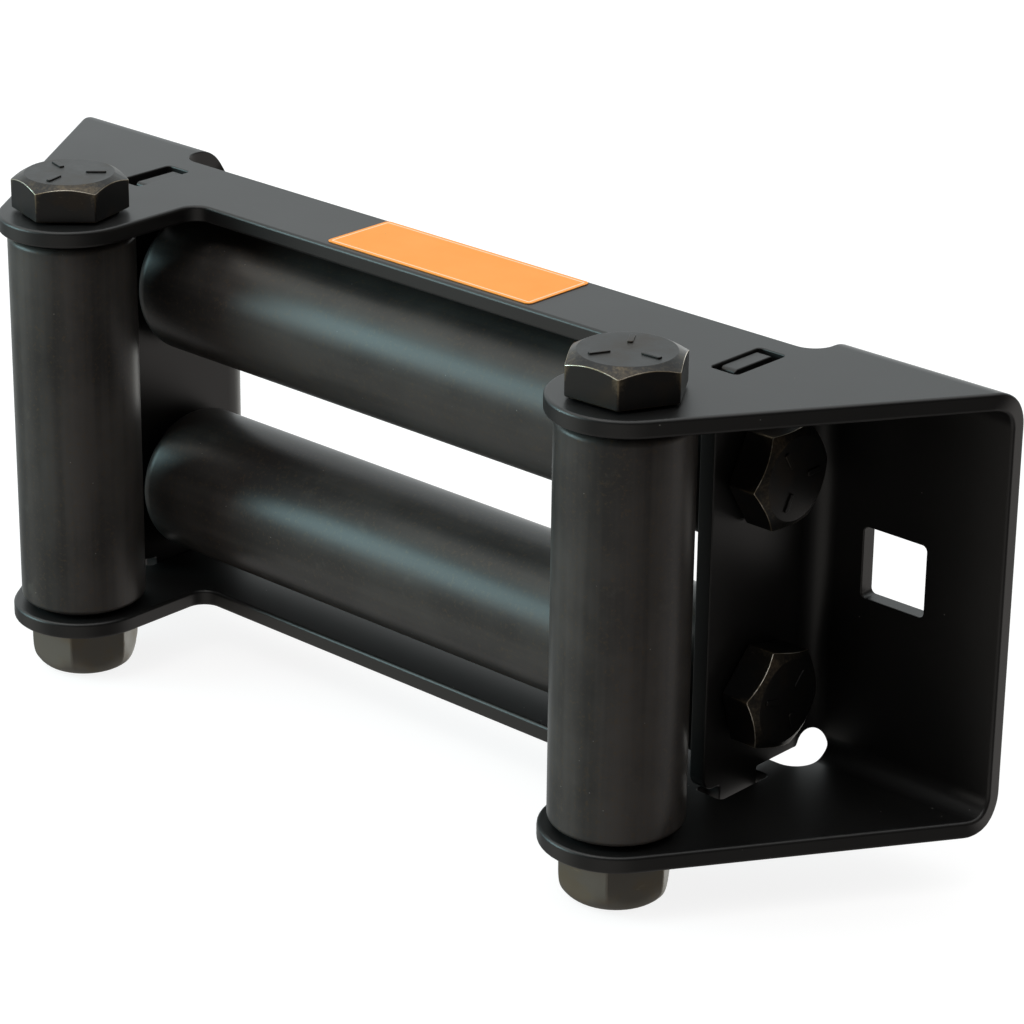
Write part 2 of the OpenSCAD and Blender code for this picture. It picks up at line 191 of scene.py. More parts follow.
class Bench:
    """Makes the nodes of one tree."""

    def __init__(self, tree: bpy.types.NodeTree) -> None:
        """Empties the tree.

        Args:
            tree: The node tree of a material or a world.
        """
        self.tree = tree
        tree.nodes.clear()

    def node(
        self,
        kind: str,
        settings: Optional[dict[str, object]] = None,
        values: Optional[dict[Union[int, str], Value]] = None,
        output: Union[int, str] = 0,
    ) -> Socket:
        """Makes one node.

        Args:
            kind: The node's type.
            settings: The node's own settings, which are set first.
            values: The values or links of its sockets.
            output: The output that is given back.

        Returns:
            The chosen output.
        """
        made = self.tree.nodes.new(kind)
        for name, setting in (settings or {}).items():
            setattr(made, name, setting)
        for name, value in (values or {}).items():
            if isinstance(value, Socket):
                self.tree.links.new(value.output, made.inputs[name])
            else:
                made.inputs[name].default_value = value
        return Socket(self, made.outputs[output]) if made.outputs else Socket(self, made.inputs[0])

    def math(self, operation: str, first: Value, second: Value = 0.0) -> Socket:
        """Makes a Math node on one or two values."""
        return self.node("ShaderNodeMath", {"operation": operation}, {0: first, 1: second})

    def vector(self, operation: str, first: Value, second: Value) -> Socket:
        """Makes a Vector Math node on two vectors."""
        return self.node("ShaderNodeVectorMath", {"operation": operation}, {0: first, 1: second})

    def scaled(self, vector: Value, factor: Value) -> Socket:
        """Makes a vector longer or shorter."""
        return self.node("ShaderNodeVectorMath", {"operation": "SCALE"}, {0: vector, "Scale": factor})

    def dot(self, first: Value, second: Value) -> Socket:
        """Makes the dot product of two vectors."""
        return self.node("ShaderNodeVectorMath", {"operation": "DOT_PRODUCT"}, {0: first, 1: second}, "Value")

    def step(self, value: Value, low: float, high: float) -> Socket:
        """Makes a soft step from 0 at low to 1 at high."""
        return self.node(
            "ShaderNodeMapRange",
            {"interpolation_type": "SMOOTHSTEP"},
            {"Value": value, "From Min": low, "From Max": high},
        )

    def mix(self, share: Value, first: Value, second: Value) -> Socket:
        """Mixes two colours.

        Args:
            share: How much of the second colour shows.
            first: The colour at 0.
            second: The colour at 1.

        Returns:
            The mixed colour.
        """
        values = {0: share, 6: self.colour(first), 7: self.colour(second)}
        return self.node("ShaderNodeMix", {"data_type": "RGBA"}, values, 2)

    @staticmethod
    def colour(value: Value) -> Value:
        """Adds the fourth number that a colour socket needs."""
        return value if isinstance(value, Socket) else (*value, 1.0)

    def place(self) -> Socket:
        """Gives the piece's own coordinates in millimetres."""
        return self.scaled(self.node("ShaderNodeTexCoord", output="Object"), 1 / MM)

    def noise(self, place: Value, size: float, detail: float = 2.0, rough: float = 0.5) -> Socket:
        """Makes noise.

        Args:
            place: The coordinates in millimetres.
            size: The size of its larger spots in millimetres.
            detail: How many finer layers it has.
            rough: How strong the finer layers are.

        Returns:
            The noise, from 0 to 1.
        """
        values = {"Vector": place, "Scale": 1 / size, "Detail": detail, "Roughness": rough}
        return self.node("ShaderNodeTexNoise", None, values)

    def specks(self, place: Value, spacing: float, size: float, share: float) -> Socket:
        """Scatters round specks.

        Args:
            place: The coordinates in millimetres.
            spacing: The mean distance between possible specks in millimetres.
            size: The radius of a speck in millimetres.
            share: The share of the possible specks that show.

        Returns:
            A mask that is 1 in a speck.
        """
        cells = self.node("ShaderNodeTexVoronoi", None, {"Vector": place, "Scale": 1 / spacing}, "Distance")
        picked = self.node("ShaderNodeSeparateColor", None, {0: cells.other("Color")})
        spot = self.step(cells, size / spacing, 0.5 * size / spacing)
        return spot * self.math("GREATER_THAN", picked, 1 - share)

    def wear(self) -> Socket:
        """Gives how exposed to wear each point of the mesh is; on the bolt heads' chamfers and chamfer arcs
        the weight also stands for painted highlight.
        """
        return self.node("ShaderNodeAttribute", {"attribute_name": "wear"}, None, "Fac")

    def bump(self, height: Value, depth: float) -> Socket:
        """Makes a bumped normal.

        Args:
            height: The height from 0 to 1.
            depth: The depth in millimetres that 1 stands for.

        Returns:
            The normal.
        """
        return self.node("ShaderNodeBump", None, {"Height": height, "Distance": depth * MM, "Strength": 1.0})

    def shader(self, values: dict[str, Value]) -> Socket:
        """Makes the main shader of a finish."""
        return self.node("ShaderNodeBsdfPrincipled", None, values)


@dataclass(frozen=True)
class Finish:
    """A finish, made into a material once and shared by its pieces."""

    name: str

    def surface(self, bench: Bench) -> Socket:
        """Makes the nodes of the finish.

        Args:
            bench: The bench of the material's tree.

        Returns:
            The shader.
        """
        raise NotImplementedError

    def material(self) -> bpy.types.Material:
        """Gives the material, which is made at the first call."""
        found = bpy.data.materials.get(self.name)
        if found:
            return found
        made = bpy.data.materials.new(self.name)
        made.use_nodes = True
        bench = Bench(made.node_tree)
        bench.node("ShaderNodeOutputMaterial", None, {"Surface": self.surface(bench)})
        return made


@dataclass(frozen=True)
class PowderCoat(Finish):
    """Satin black powder coat with a fine grain, soft clouds and a little dust."""

    dark: Colour = (0.0040, 0.0040, 0.0041)
    pale: Colour = (0.0078, 0.0077, 0.0076)
    dust: Colour = (0.34, 0.33, 0.31)
    rough: float = 0.40
    sheen: float = 0.5
    depth: float = 0.012
    grain_size: float = 0.7
    cloud_size: float = 42.0
    peel_size: float = 3.4
    dust_gap: float = 4.2
    dust_r: float = 0.22
    dust_share: float = 0.16
    dust_cover: float = 0.6

    def surface(self, bench: Bench) -> Socket:
        """Makes the nodes of the coat, as Finish.surface does."""
        place = bench.place()
        cloud = bench.noise(place, self.cloud_size, 4.0, 0.55)
        grain = bench.noise(place, self.grain_size, 2.0, 0.6)
        peel = bench.noise(place, self.peel_size, 1.0)
        speck = bench.specks(place, self.dust_gap, self.dust_r, self.dust_share)
        colour = bench.mix(bench.step(cloud, 0.3, 0.7), self.dark, self.pale)
        return bench.shader({
            "Base Color": bench.mix(speck * self.dust_cover, colour, self.dust),
            "Roughness": self.rough - 0.05 + cloud * 0.10 + speck * 0.2,
            "Specular IOR Level": self.sheen,
            "Normal": bench.bump(grain * 0.65 + peel * 0.35, self.depth),
        })


@dataclass(frozen=True)
class RollerCoat(PowderCoat):
    """The same coat on a roller, with fine scuffs and a faint grain drawn along its axis."""

    cloud_size: float = 30.0
    peel_size: float = 4.0
    dust_gap: float = 3.0
    dust_r: float = 0.17
    scuff: Colour = (0.085, 0.078, 0.068)
    scuff_size: float = 9.0
    scuff_cover: float = 0.4
    rust: Colour = (0.078, 0.056, 0.034)
    rust_size: float = 1.1
    rust_cover: float = 0.6
    along: tuple[float, float, float] = (0.0, 0.0, 1.0)
    streak_size: float = 4.5
    stretch: float = 0.97
    drawn: float = 0.4

    def surface(self, bench: Bench) -> Socket:
        """Makes the nodes of the coat, as Finish.surface does."""
        place = bench.place()
        cloud = bench.noise(place, self.cloud_size, 4.0, 0.6)
        grain = bench.noise(place, self.grain_size, 2.0, 0.6)
        peel = bench.noise(place, self.peel_size, 1.0)
        speck = bench.specks(place, self.dust_gap, self.dust_r, self.dust_share)
        scuffed = bench.step(bench.noise(place, self.scuff_size, 5.0, 0.7), 0.58, 0.74)
        squeeze = tuple(1 - self.stretch * part for part in self.along)
        streak = bench.noise(bench.vector("MULTIPLY", place, squeeze), self.streak_size, 3.0, 0.6)
        tone = (1 - self.drawn) * cloud + self.drawn * streak
        rusted = bench.step(bench.noise(place, self.rust_size, 3.0, 0.75), 0.52, 0.70)
        colour = bench.mix(bench.step(tone, 0.36, 0.64), self.dark, self.pale)
        colour = bench.mix(rusted * self.rust_cover, colour, self.rust)
        colour = bench.mix(scuffed * self.scuff_cover, colour, self.scuff)
        return bench.shader({
            "Base Color": bench.mix(speck * self.dust_cover, colour, self.dust),
            "Roughness": self.rough - 0.10 + tone * 0.20 + scuffed * 0.08,
            "Specular IOR Level": self.sheen,
            "Normal": bench.bump(grain * 0.6 + peel * 0.4, self.depth),
        })


@dataclass(frozen=True)
class BlackOxide(Finish):
    """Black oxide on steel: brown in places, with bronze and bright metal on the worn edges, which on the
    bolt heads' chamfers and chamfer arcs is partly wear and partly painted highlight.
    """

    dark: Colour = (0.031, 0.0308, 0.0306)
    brown: Colour = (0.052, 0.038, 0.026)
    bronze: Colour = (0.27, 0.22, 0.145)
    bright: Colour = (0.80, 0.76, 0.68)
    rough: float = 0.40
    metal: float = 0.85
    depth: float = 0.012
    cloud_size: float = 9.0
    grain_size: float = 0.8
    scrape_size: float = 2.6
    scrape_pull: tuple[float, float, float] = (0.35, 0.35, 2.2)
    stain: float = 0.4
    rub_and_highlight_cover: float = 0.7
    scrape_cover: float = 0.22
    bare_and_highlight_cover: float = 0.9

    def surface(self, bench: Bench) -> Socket:
        """Makes the nodes of the steel, as Finish.surface does."""
        place = bench.place()
        cloud = bench.noise(place, self.cloud_size, 4.0, 0.6)
        grain = bench.noise(place, self.grain_size, 3.0, 0.6)
        scrape = bench.noise(bench.vector("MULTIPLY", place, self.scrape_pull), self.scrape_size, 3.0, 0.6)
        edge = bench.wear()
        stained = bench.step(cloud, 0.46, 0.66)
        # Painted highlight: the wear weight on the bolt heads' chamfers and chamfer arcs turns them bronze,
        # partly for wear and partly for warm reflected light.
        rubbed_and_highlit = bench.step(edge + (grain - 0.5) * 0.4 + (cloud - 0.5) * 0.5, 0.22, 0.70)
        # Painted highlight: where that weight peaks on the heads' chamfer arcs the steel shows bright metal,
        # partly for wear and partly for strong light on those edges.
        bare_and_highlit = bench.step(edge + (scrape - 0.5) * 0.7 + (cloud - 0.5) * 0.9, 0.80, 1.1)
        scraped = bench.step(scrape, 0.66, 0.78) * bench.step(cloud, 0.50, 0.66)
        colour = bench.mix(stained * self.stain, self.dark, self.brown)
        colour = bench.mix(rubbed_and_highlit * self.rub_and_highlight_cover, colour, self.bronze)
        colour = bench.mix(scraped * self.scrape_cover, colour, self.bright)
        return bench.shader({
            "Base Color": bench.mix(bare_and_highlit * self.bare_and_highlight_cover, colour, self.bright),
            "Roughness": self.rough + (cloud - 0.5) * 0.3 - bare_and_highlit * 0.10,
            "Metallic": self.metal,
            "Normal": bench.bump(grain, self.depth),
        })


@dataclass(frozen=True)
class Nylon(Finish):
    """Moulded nylon."""

    colour: Colour = (0.02, 0.02, 0.021)
    lift: float = 1.3
    rough: float = 0.5
    depth: float = 0.004
    cloud_size: float = 6.0
    grain_size: float = 0.5

    def surface(self, bench: Bench) -> Socket:
        """Makes the nodes of the plastic, as Finish.surface does."""
        place = bench.place()
        cloud = bench.noise(place, self.cloud_size, 3.0)
        lighter = tuple(self.lift * part for part in self.colour)
        return bench.shader({
            "Base Color": bench.mix(cloud, self.colour, lighter),
            "Roughness": self.rough + (cloud - 0.5) * 0.12,
            "Normal": bench.bump(bench.noise(place, self.grain_size), self.depth),
        })


@dataclass(frozen=True)
class LabelVinyl(Finish):
    """Orange vinyl with a thin pale line inside its edge."""

    middle: Point
    half: Point
    corner_r: float
    line_in: float = 1.1
    line_w: float = 0.45
    line_soft: float = 0.1
    line_cover: float = 0.85
    orange: Colour = (1.0, 0.35, 0.040)
    deep: Colour = (0.95, 0.305, 0.029)
    pale: Colour = (0.92, 0.74, 0.50)
    grime: Colour = (0.16, 0.10, 0.06)
    grime_gap: float = 2.6
    grime_r: float = 0.16
    grime_share: float = 0.1
    grime_cover: float = 0.5
    rough: float = 0.36
    sheen: float = 0.2
    depth: float = 0.006
    cloud_size: float = 16.0
    grain_size: float = 1.4

    def surface(self, bench: Bench) -> Socket:
        """Makes the nodes of the vinyl, as Finish.surface does."""
        place = bench.place()
        off_line = abs(self.inset(bench, place) - self.line_in)
        line = bench.step(off_line, self.line_w / 2 + self.line_soft, self.line_w / 2 - self.line_soft)
        cloud = bench.noise(place, self.cloud_size, 4.0, 0.6)
        speck = bench.specks(place, self.grime_gap, self.grime_r, self.grime_share)
        colour = bench.mix(cloud, self.orange, self.deep)
        colour = bench.mix(line * self.line_cover, colour, self.pale)
        return bench.shader({
            "Base Color": bench.mix(speck * self.grime_cover, colour, self.grime),
            "Roughness": self.rough + cloud * 0.12,
            "Specular IOR Level": self.sheen,
            "Normal": bench.bump(bench.noise(place, self.grain_size), self.depth),
        })

    def inset(self, bench: Bench, place: Socket) -> Socket:
        """Works out how far inside the label's edge a point lies.

        Args:
            bench: The bench of the material's tree.
            place: The point in millimetres.

        Returns:
            The distance in millimetres.
        """
        parts = bench.node("ShaderNodeSeparateXYZ", None, {0: place})
        over = [
            abs(parts.other(axis) - middle) - (half - self.corner_r)
            for axis, middle, half in zip("XY", self.middle, self.half)
        ]
        past = [bench.math("MAXIMUM", part, 0.0) for part in over]
        corner = bench.math("SQRT", past[0] * past[0] + past[1] * past[1])
        depth = bench.math("MINIMUM", bench.math("MAXIMUM", over[0], over[1]), 0.0)
        return self.corner_r - corner - depth


@dataclass(frozen=True)
class FloorPaint(Finish):
    """The studio's pale floor, which glows a little so that shadows stay faint."""

    colour: Colour = (0.24, 0.24, 0.24)
    glow: Colour = (0.86, 0.86, 0.86)
    rough: float = 0.85
    cloud_size: float = 260.0

    def surface(self, bench: Bench) -> Socket:
        """Makes the nodes of the floor, as Finish.surface does."""
        cloud = bench.noise(bench.place(), self.cloud_size)
        return bench.shader({
            "Base Color": bench.colour(self.colour),
            "Roughness": self.rough + cloud * 0.1,
            "Specular IOR Level": 0.0,
            "Emission Color": bench.colour(self.glow),
            "Emission Strength": 1.0,
        })


class Outline:
    """A run of straight lines and arcs in a plane, with rounded corners."""

    ARC_STEP = 7
    LEAST_PIECES = 3

    def __init__(self) -> None:
        """Starts an empty run."""
        self.corners: list[tuple[float, float, float]] = []

    @classmethod
    def rectangle(cls, middle: Point, size: Point, radius: float) -> "Outline":
        """Draws a rectangle with round corners.

        Args:
            middle: Its middle.
            size: Its two sides.
            radius: Its corners' radius.

        Returns:
            The outline.
        """
        made = cls()
        for x, y in ((1, 1), (-1, 1), (-1, -1), (1, -1)):
            made.to(middle[0] + x * size[0] / 2, middle[1] + y * size[1] / 2, radius)
        return made

    def to(self, x: float, y: float, radius: float = 0.0) -> "Outline":
        """Goes to a corner, which gets that radius."""
        self.corners.append((x, y, radius))
        return self

    def arc(self, centre: Point, radius: float, start: float, end: float, steps: int) -> "Outline":
        """Follows an arc.

        Args:
            centre: The arc's centre.
            radius: Its radius.
            start: The angle it starts at, in degrees.
            end: The angle it ends at, in degrees.
            steps: How many straight pieces it is made of.

        Returns:
            The outline itself.
        """
        for turn in np.radians(np.linspace(start, end, steps + 1)):
            self.to(centre[0] + radius * math.cos(turn), centre[1] + radius * math.sin(turn))
        return self

    def points(self, closed: bool, steps: int = 0) -> list[tuple[float, float, float]]:
        """Works out the points of the run.

        Args:
            closed: Whether the last corner joins the first.
            steps: How many pieces each rounded corner has, or 0 to follow its angle.

        Returns:
            Points with their two coordinates and a weight: 1 in the middle of a rounded corner, 0 elsewhere.
        """
        found: list[tuple[float, float, float]] = []
        count = len(self.corners)
        for i, (x, y, radius) in enumerate(self.corners):
            if radius <= 0 or (not closed and i in (0, count - 1)):
                found.append((x, y, 0.0))
                continue
            here = Vector((x, y))
            before = (Vector(self.corners[i - 1][:2]) - here).normalized()
            after = (Vector(self.corners[(i + 1) % count][:2]) - here).normalized()
            half = before.angle(after) / 2
            centre = here + (before + after).normalized() * (radius / math.sin(half))
            first = here + before * (radius / math.tan(half)) - centre
            last = here + after * (radius / math.tan(half)) - centre
            sweep = math.pi - 2 * half
            turn = math.copysign(sweep, first.x * last.y - first.y * last.x)
            pieces = steps or max(self.LEAST_PIECES, math.ceil(math.degrees(sweep) / self.ARC_STEP))
            start = math.atan2(first.y, first.x)
            for k in range(pieces + 1):
                at = start + turn * k / pieces
                weight = math.sin(math.pi * k / pieces)
                found.append((centre.x + radius * math.cos(at), centre.y + radius * math.sin(at), weight))
        return found

    def loop(self, step: Callable[[Point], float]) -> list[Point]:
        """Works out a closed loop with its long sides divided.

        Args:
            step: Gives the longest piece that is allowed near a point.

        Returns:
            The loop's points.
        """
        corners = [point[:2] for point in self.points(True)]
        return divided(corners + corners[:1], step)[:-1]


def divided(run: Sequence[Point], step: Callable[[Point], float], least: float = 0.35) -> list[Point]:
    """Divides the long pieces of a run.

    Args:
        run: The points of the run.
        step: Gives the longest piece that is allowed near a point.
        least: The share of a step below which the last piece joins the one before.

    Returns:
        The same run with more points.
    """
    found: list[Point] = []
    for (x0, y0), (x1, y1) in zip(run, run[1:]):
        length = math.hypot(x1 - x0, y1 - y0)
        at = 0.0
        while at < length - TINY:
            here = (x0 + (x1 - x0) * at / length, y0 + (y1 - y0) * at / length)
            found.append(here)
            at += step(here)
            if length - at < least * step(here):
                at = length
    found.append(run[-1])
    return found


def four_way(quarter: Sequence[Point]) -> list[Point]:
    """Mirrors a quarter into a closed loop.

    Args:
        quarter: A run from the upper end of the Y axis to the right end of the X axis.

    Returns:
        The whole loop, anticlockwise.
    """
    back = list(reversed(quarter))
    return (
        back
        + [(-x, y) for x, y in quarter[1:]]
        + [(-x, -y) for x, y in back[1:]]
        + [(x, -y) for x, y in quarter[1:-1]]
    )


class Shape:
    """Closed forms gathered in millimetres, with a wear weight on each vertex."""

    def __init__(self) -> None:
        """Starts with nothing."""
        self.points: list[Sequence[float]] = []
        self.faces: list[tuple[int, ...]] = []
        self.wear: list[float] = []
        self.known: dict[int, Sequence[float]] = {}

    def add(
        self,
        points: np.ndarray,
        faces: Sequence[tuple[int, ...]],
        wear: Sequence[float],
        normals: Optional[np.ndarray] = None,
    ) -> None:
        """Adds one closed form, turned so that its faces look outwards.

        Args:
            points: The vertices, one row each.
            faces: The faces, all with the same sense.
            wear: The wear weight of each vertex.
            normals: The outward normals of the vertices, if they are known.
        """
        volume = sum(
            float(np.dot(points[face[0]], np.cross(points[face[k]], points[face[k + 1]])))
            for face in faces
            for k in range(1, len(face) - 1)
        )
        start = len(self.points)
        if normals is not None:
            self.known.update((start + i, row) for i, row in enumerate(normals.tolist()))
        self.points.extend(points.tolist())
        self.wear.extend(float(weight) for weight in wear)
        for face in faces:
            self.faces.append(tuple(start + i for i in (face if volume > 0 else face[::-1])))

    def piece(self, name: str, place: Matrix, finish: Finish) -> bpy.types.Object:
        """Makes the object.

        Args:
            name: The object's name.
            place: From the form's own frame to the row's frame, in millimetres.
            finish: The finish that it wears.

        Returns:
            The object, in the scene.
        """
        mesh = bpy.data.meshes.new(name)
        mesh.from_pydata([(place @ Vector(point)) * MM for point in self.points], [], self.faces)
        mesh.attributes.new("wear", "FLOAT", "POINT").data.foreach_set("value", self.wear)
        mesh.polygons.foreach_set("use_smooth", [True] * len(mesh.polygons))
        normals = self.normals(mesh)
        for i, normal in self.known.items():
            normals[i] = place.to_3x3() @ Vector(normal)
        mesh.normals_split_custom_set_from_vertices(normals)
        mesh.materials.append(finish.material())
        made = bpy.data.objects.new(name, mesh)
        bpy.context.scene.collection.objects.link(made)
        return made

    @staticmethod
    def normals(mesh: bpy.types.Mesh) -> list[Vector]:
        """Works out normals that follow the large faces, so that flats stay flat beside round edges.

        Args:
            mesh: The mesh.

        Returns:
            One normal for each vertex.
        """
        found = [Vector((0.0, 0.0, 0.0)) for _ in mesh.vertices]
        for face in mesh.polygons:
            for i in face.vertices:
                found[i] += face.normal * (face.area / MM**2) ** 2
        return [normal.normalized() for normal in found]


def stand_for(piece: bpy.types.Object, node: str, body: str) -> bpy.types.Object:
    """Lets a piece stand for a CAD node.

    Args:
        piece: The piece.
        node: The node that it hides.
        body: The body that it moves with.

    Returns:
        The same piece.
    """
    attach(piece, body)
    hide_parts(node)
    return piece


@dataclass
class Plate:
    """A sheet with round edges, cut from flat loops and laid on a surface."""

    outer: Sequence[Point]
    thickness: float
    edge_r: float
    lay: Callable[[np.ndarray, np.ndarray], np.ndarray]
    holes: Sequence[Sequence[Point]] = ()
    inner: Sequence[Point] = ()
    hole_edge_r: float = 0.4
    edge_steps: int = 5
    edge_wear: float = 1.0
    # Small distances that keep the mesh sound
    inner_gap: float = 0.55
    nudge: float = 0.02
    weld: float = 1e-7
    least_height: float = 0.001

    def add_to(self, shape: Shape) -> None:
        """Adds the sheet to a shape.

        Args:
            shape: The shape that gathers it.
        """
        loops = [(self.turned(self.outer, True), self.edge_r)]
        loops += [(self.turned(hole, False), self.hole_edge_r) for hole in self.holes]
        flat, points, normals, faces, wear = [], [], [], [], []
        edges: list[tuple[int, int]] = []
        top: list[int] = []
        low: list[int] = []
        for loop, edge_r in loops:
            count = len(loop)
            rim = self.rim(edge_r)
            inward = self.inward(loop)
            start = len(points)
            first = len(flat)
            for inset, height, weight, out, rise in rim:
                ring = loop + inward * inset
                points.extend(self.lay(ring, np.full(count, height)))
                normals.extend(rise * self.upward(ring) + out * self.outward(ring, inward, height))
                wear.extend([weight * self.edge_wear] * count)
            flat.extend((loop + inward * edge_r).tolist())
            edges.extend((first + i, first + (i + 1) % count) for i in range(count))
            top.extend(range(start, start + count))
            low.extend(range(start + (len(rim) - 1) * count, start + len(rim) * count))
            for j in range(len(rim) - 1):
                for i in range(count):
                    a, b = start + j * count + i, start + j * count + (i + 1) % count
                    faces.append((a, b, b + count, a + count))
        inner = self.clear(np.array(flat), edges)
        for height, side in ((self.thickness / 2, top), (-self.thickness / 2, low)):
            side.extend(range(len(points), len(points) + len(inner)))
            if len(inner):
                points.extend(self.lay(inner, np.full(len(inner), height)))
                normals.extend(self.upward(inner) * np.sign(height))
                wear.extend([0.0] * len(inner))
        flat.extend(inner.tolist())
        for a, b, c in self.triangles(flat, edges):
            faces.append((top[c], top[b], top[a]))
            faces.append((low[a], low[b], low[c]))
        shape.add(np.array(points), faces, wear, np.array(normals))

    def rim(self, edge_r: float) -> list[tuple[float, float, float, float, float]]:
        """Gives an edge's section from the upper face to the lower one.

        Args:
            edge_r: The radius of the edge.

        Returns:
            Points with their inset, height and wear, and the outward and upward parts of their normals.
        """
        half = []
        for k in range(self.edge_steps + 1):
            turn = math.pi / 2 * k / self.edge_steps
            out, rise = math.sin(turn), math.cos(turn)
            height = self.thickness / 2 - edge_r * (1 - rise)
            half.append((edge_r * (1 - out), height, math.sin(2 * turn), out, rise))
        mirrored = [(inset, -height, weight, out, -rise) for inset, height, weight, out, rise in half]
        return half + mirrored[::-1]

    def upward(self, flat: np.ndarray) -> np.ndarray:
        """Gives the normals of the upper face."""
        return self.lay(flat, np.ones(len(flat))) - self.lay(flat, np.zeros(len(flat)))

    def outward(self, flat: np.ndarray, inward: np.ndarray, height: float) -> np.ndarray:
        """Works out the way out of the sheet's edge.

        Args:
            flat: Points of a loop.
            inward: The way into the sheet at each of them, on the flat sheet.
            height: Their height.

        Returns:
            Unit vectors on the folded sheet.
        """
        level = np.full(len(flat), height)
        shift = inward * self.nudge
        way = self.lay(flat - shift, level) - self.lay(flat + shift, level)
        return way / np.linalg.norm(way, axis=1, keepdims=True)

    @staticmethod
    def turned(loop: Sequence[Point], left: bool) -> np.ndarray:
        """Turns a loop so that the sheet lies on its left."""
        points = np.array(loop, float)
        area = np.sum(points[:, 0] * np.roll(points[:, 1], -1) - np.roll(points[:, 0], -1) * points[:, 1])
        return points if (area > 0) == left else points[::-1]

    @staticmethod
    def inward(loop: np.ndarray) -> np.ndarray:
        """Works out, at each point of a loop, the way into the sheet.

        Args:
            loop: The loop, with the sheet on its left.

        Returns:
            Vectors that move every side of the loop in by 1.
        """
        along = np.roll(loop, -1, axis=0) - loop
        along /= np.linalg.norm(along, axis=1, keepdims=True)
        after = np.stack([-along[:, 1], along[:, 0]], axis=1)
        before = np.roll(after, 1, axis=0)
        return (before + after) / (1 + np.sum(before * after, axis=1, keepdims=True))

    def clear(self, flat: np.ndarray, edges: Sequence[tuple[int, int]]) -> np.ndarray:
        """Picks the inner points that lie in the sheet, well away from its edges.

        Args:
            flat: The points of the loops.
            edges: Their sides.

        Returns:
            The points that are kept.
        """
        inner = np.array(self.inner, float).reshape(-1, 2)
        if not len(inner):
            return inner
        ends = np.array(edges)
        a, b = flat[ends[:, 0]], flat[ends[:, 1]]
        side = b - a
        rel = inner[:, None, :] - a[None]
        share = np.clip(np.sum(rel * side, axis=2) / np.sum(side * side, axis=1), 0, 1)
        gap = np.linalg.norm(rel - share[..., None] * side, axis=2).min(axis=1)
        return inner[self.within(inner, a, b) & (gap > self.inner_gap)]

    @staticmethod
    def within(points: np.ndarray, a: np.ndarray, b: np.ndarray) -> np.ndarray:
        """Tells which points lie inside the loops, by counting the sides that a ray crosses.

        Args:
            points: The points to test.
            a: The first ends of the sides.
            b: Their last ends.

        Returns:
            One truth value for each point.
        """
        x, y = points[:, :1], points[:, 1:]
        spans = (a[:, 1] > y) != (b[:, 1] > y)
        rise = np.where(b[:, 1] == a[:, 1], 1.0, b[:, 1] - a[:, 1])
        reach = a[:, 0] + (y - a[:, 1]) * (b[:, 0] - a[:, 0]) / rise
        return np.sum(spans & (x < reach), axis=1) % 2 == 1

    def triangles(self, flat: list[Point], edges: Sequence[tuple[int, int]]) -> list[tuple[int, int, int]]:
        """Fills the sheet with triangles and drops those without height, which spoil the normals beside them.

        Args:
            flat: The points of the loops, then the inner points.
            edges: The loops' sides.

        Returns:
            The triangles, as places in flat.
        """
        spots = [Vector(point) for point in flat]
        found, _, made, origin, _, _ = delaunay_2d_cdt(spots, edges, [], 0, self.weld, True)
        if len(found) != len(flat):
            log.warning("the sheet has %d points, not %d", len(found), len(flat))
        number = [ids[0] if ids else 0 for ids in origin]
        corners = np.array([[number[i] for i in face] for face in made])
        place = np.array(flat)
        ends = np.array(edges)
        kept = self.within(place[corners].mean(axis=1), place[ends[:, 0]], place[ends[:, 1]])
        sides = place[np.roll(corners, -1, axis=1)] - place[corners]
        double_area = np.abs(sides[:, 0, 0] * sides[:, 1, 1] - sides[:, 0, 1] * sides[:, 1, 0])
        kept &= double_area > self.least_height * np.linalg.norm(sides, axis=2).max(axis=1)
        return [tuple(face) for face in corners[kept].tolist()]


@dataclass
class Turned:
    """A form lofted around Z from a section that may change with the angle."""

    section: Callable[[float], Sequence[tuple[float, float, float]]]
    angles: Sequence[float]
    tube: bool

    def add_to(self, shape: Shape) -> None:
        """Adds the form to a shape.

        Args:
            shape: The shape that gathers it.
        """
        rows = [self.section(turn) for turn in self.angles]
        count, around = len(rows[0]), len(rows)
        points, wear = [], []
        for turn, row in zip(self.angles, rows):
            for radius, z, weight in row:
                points.append((radius * math.cos(turn), radius * math.sin(turn), z))
                wear.append(weight)
        faces: list[tuple[int, ...]] = []
        for i in range(around):
            here, there = i * count, (i + 1) % around * count
            for j in range(count if self.tube else count - 1):
                k = (j + 1) % count
                if not self.tube and j == 0:
                    faces.append((0, here + k, there + k))
                elif not self.tube and k == count - 1:
                    faces.append((here + j, count - 1, there + j))
                else:
                    faces.append((here + j, here + k, there + k, there + j))
        used = sorted({i for face in faces for i in face})
        place = {old: new for new, old in enumerate(used)}
        faces = [tuple(place[i] for i in face) for face in faces]
        shape.add(np.array([points[i] for i in used]), faces, [wear[i] for i in used])


def full_turn(count: int) -> list[float]:
    """Gives evenly spaced angles around a whole turn."""
    return [2 * math.pi * i / count for i in range(count)]


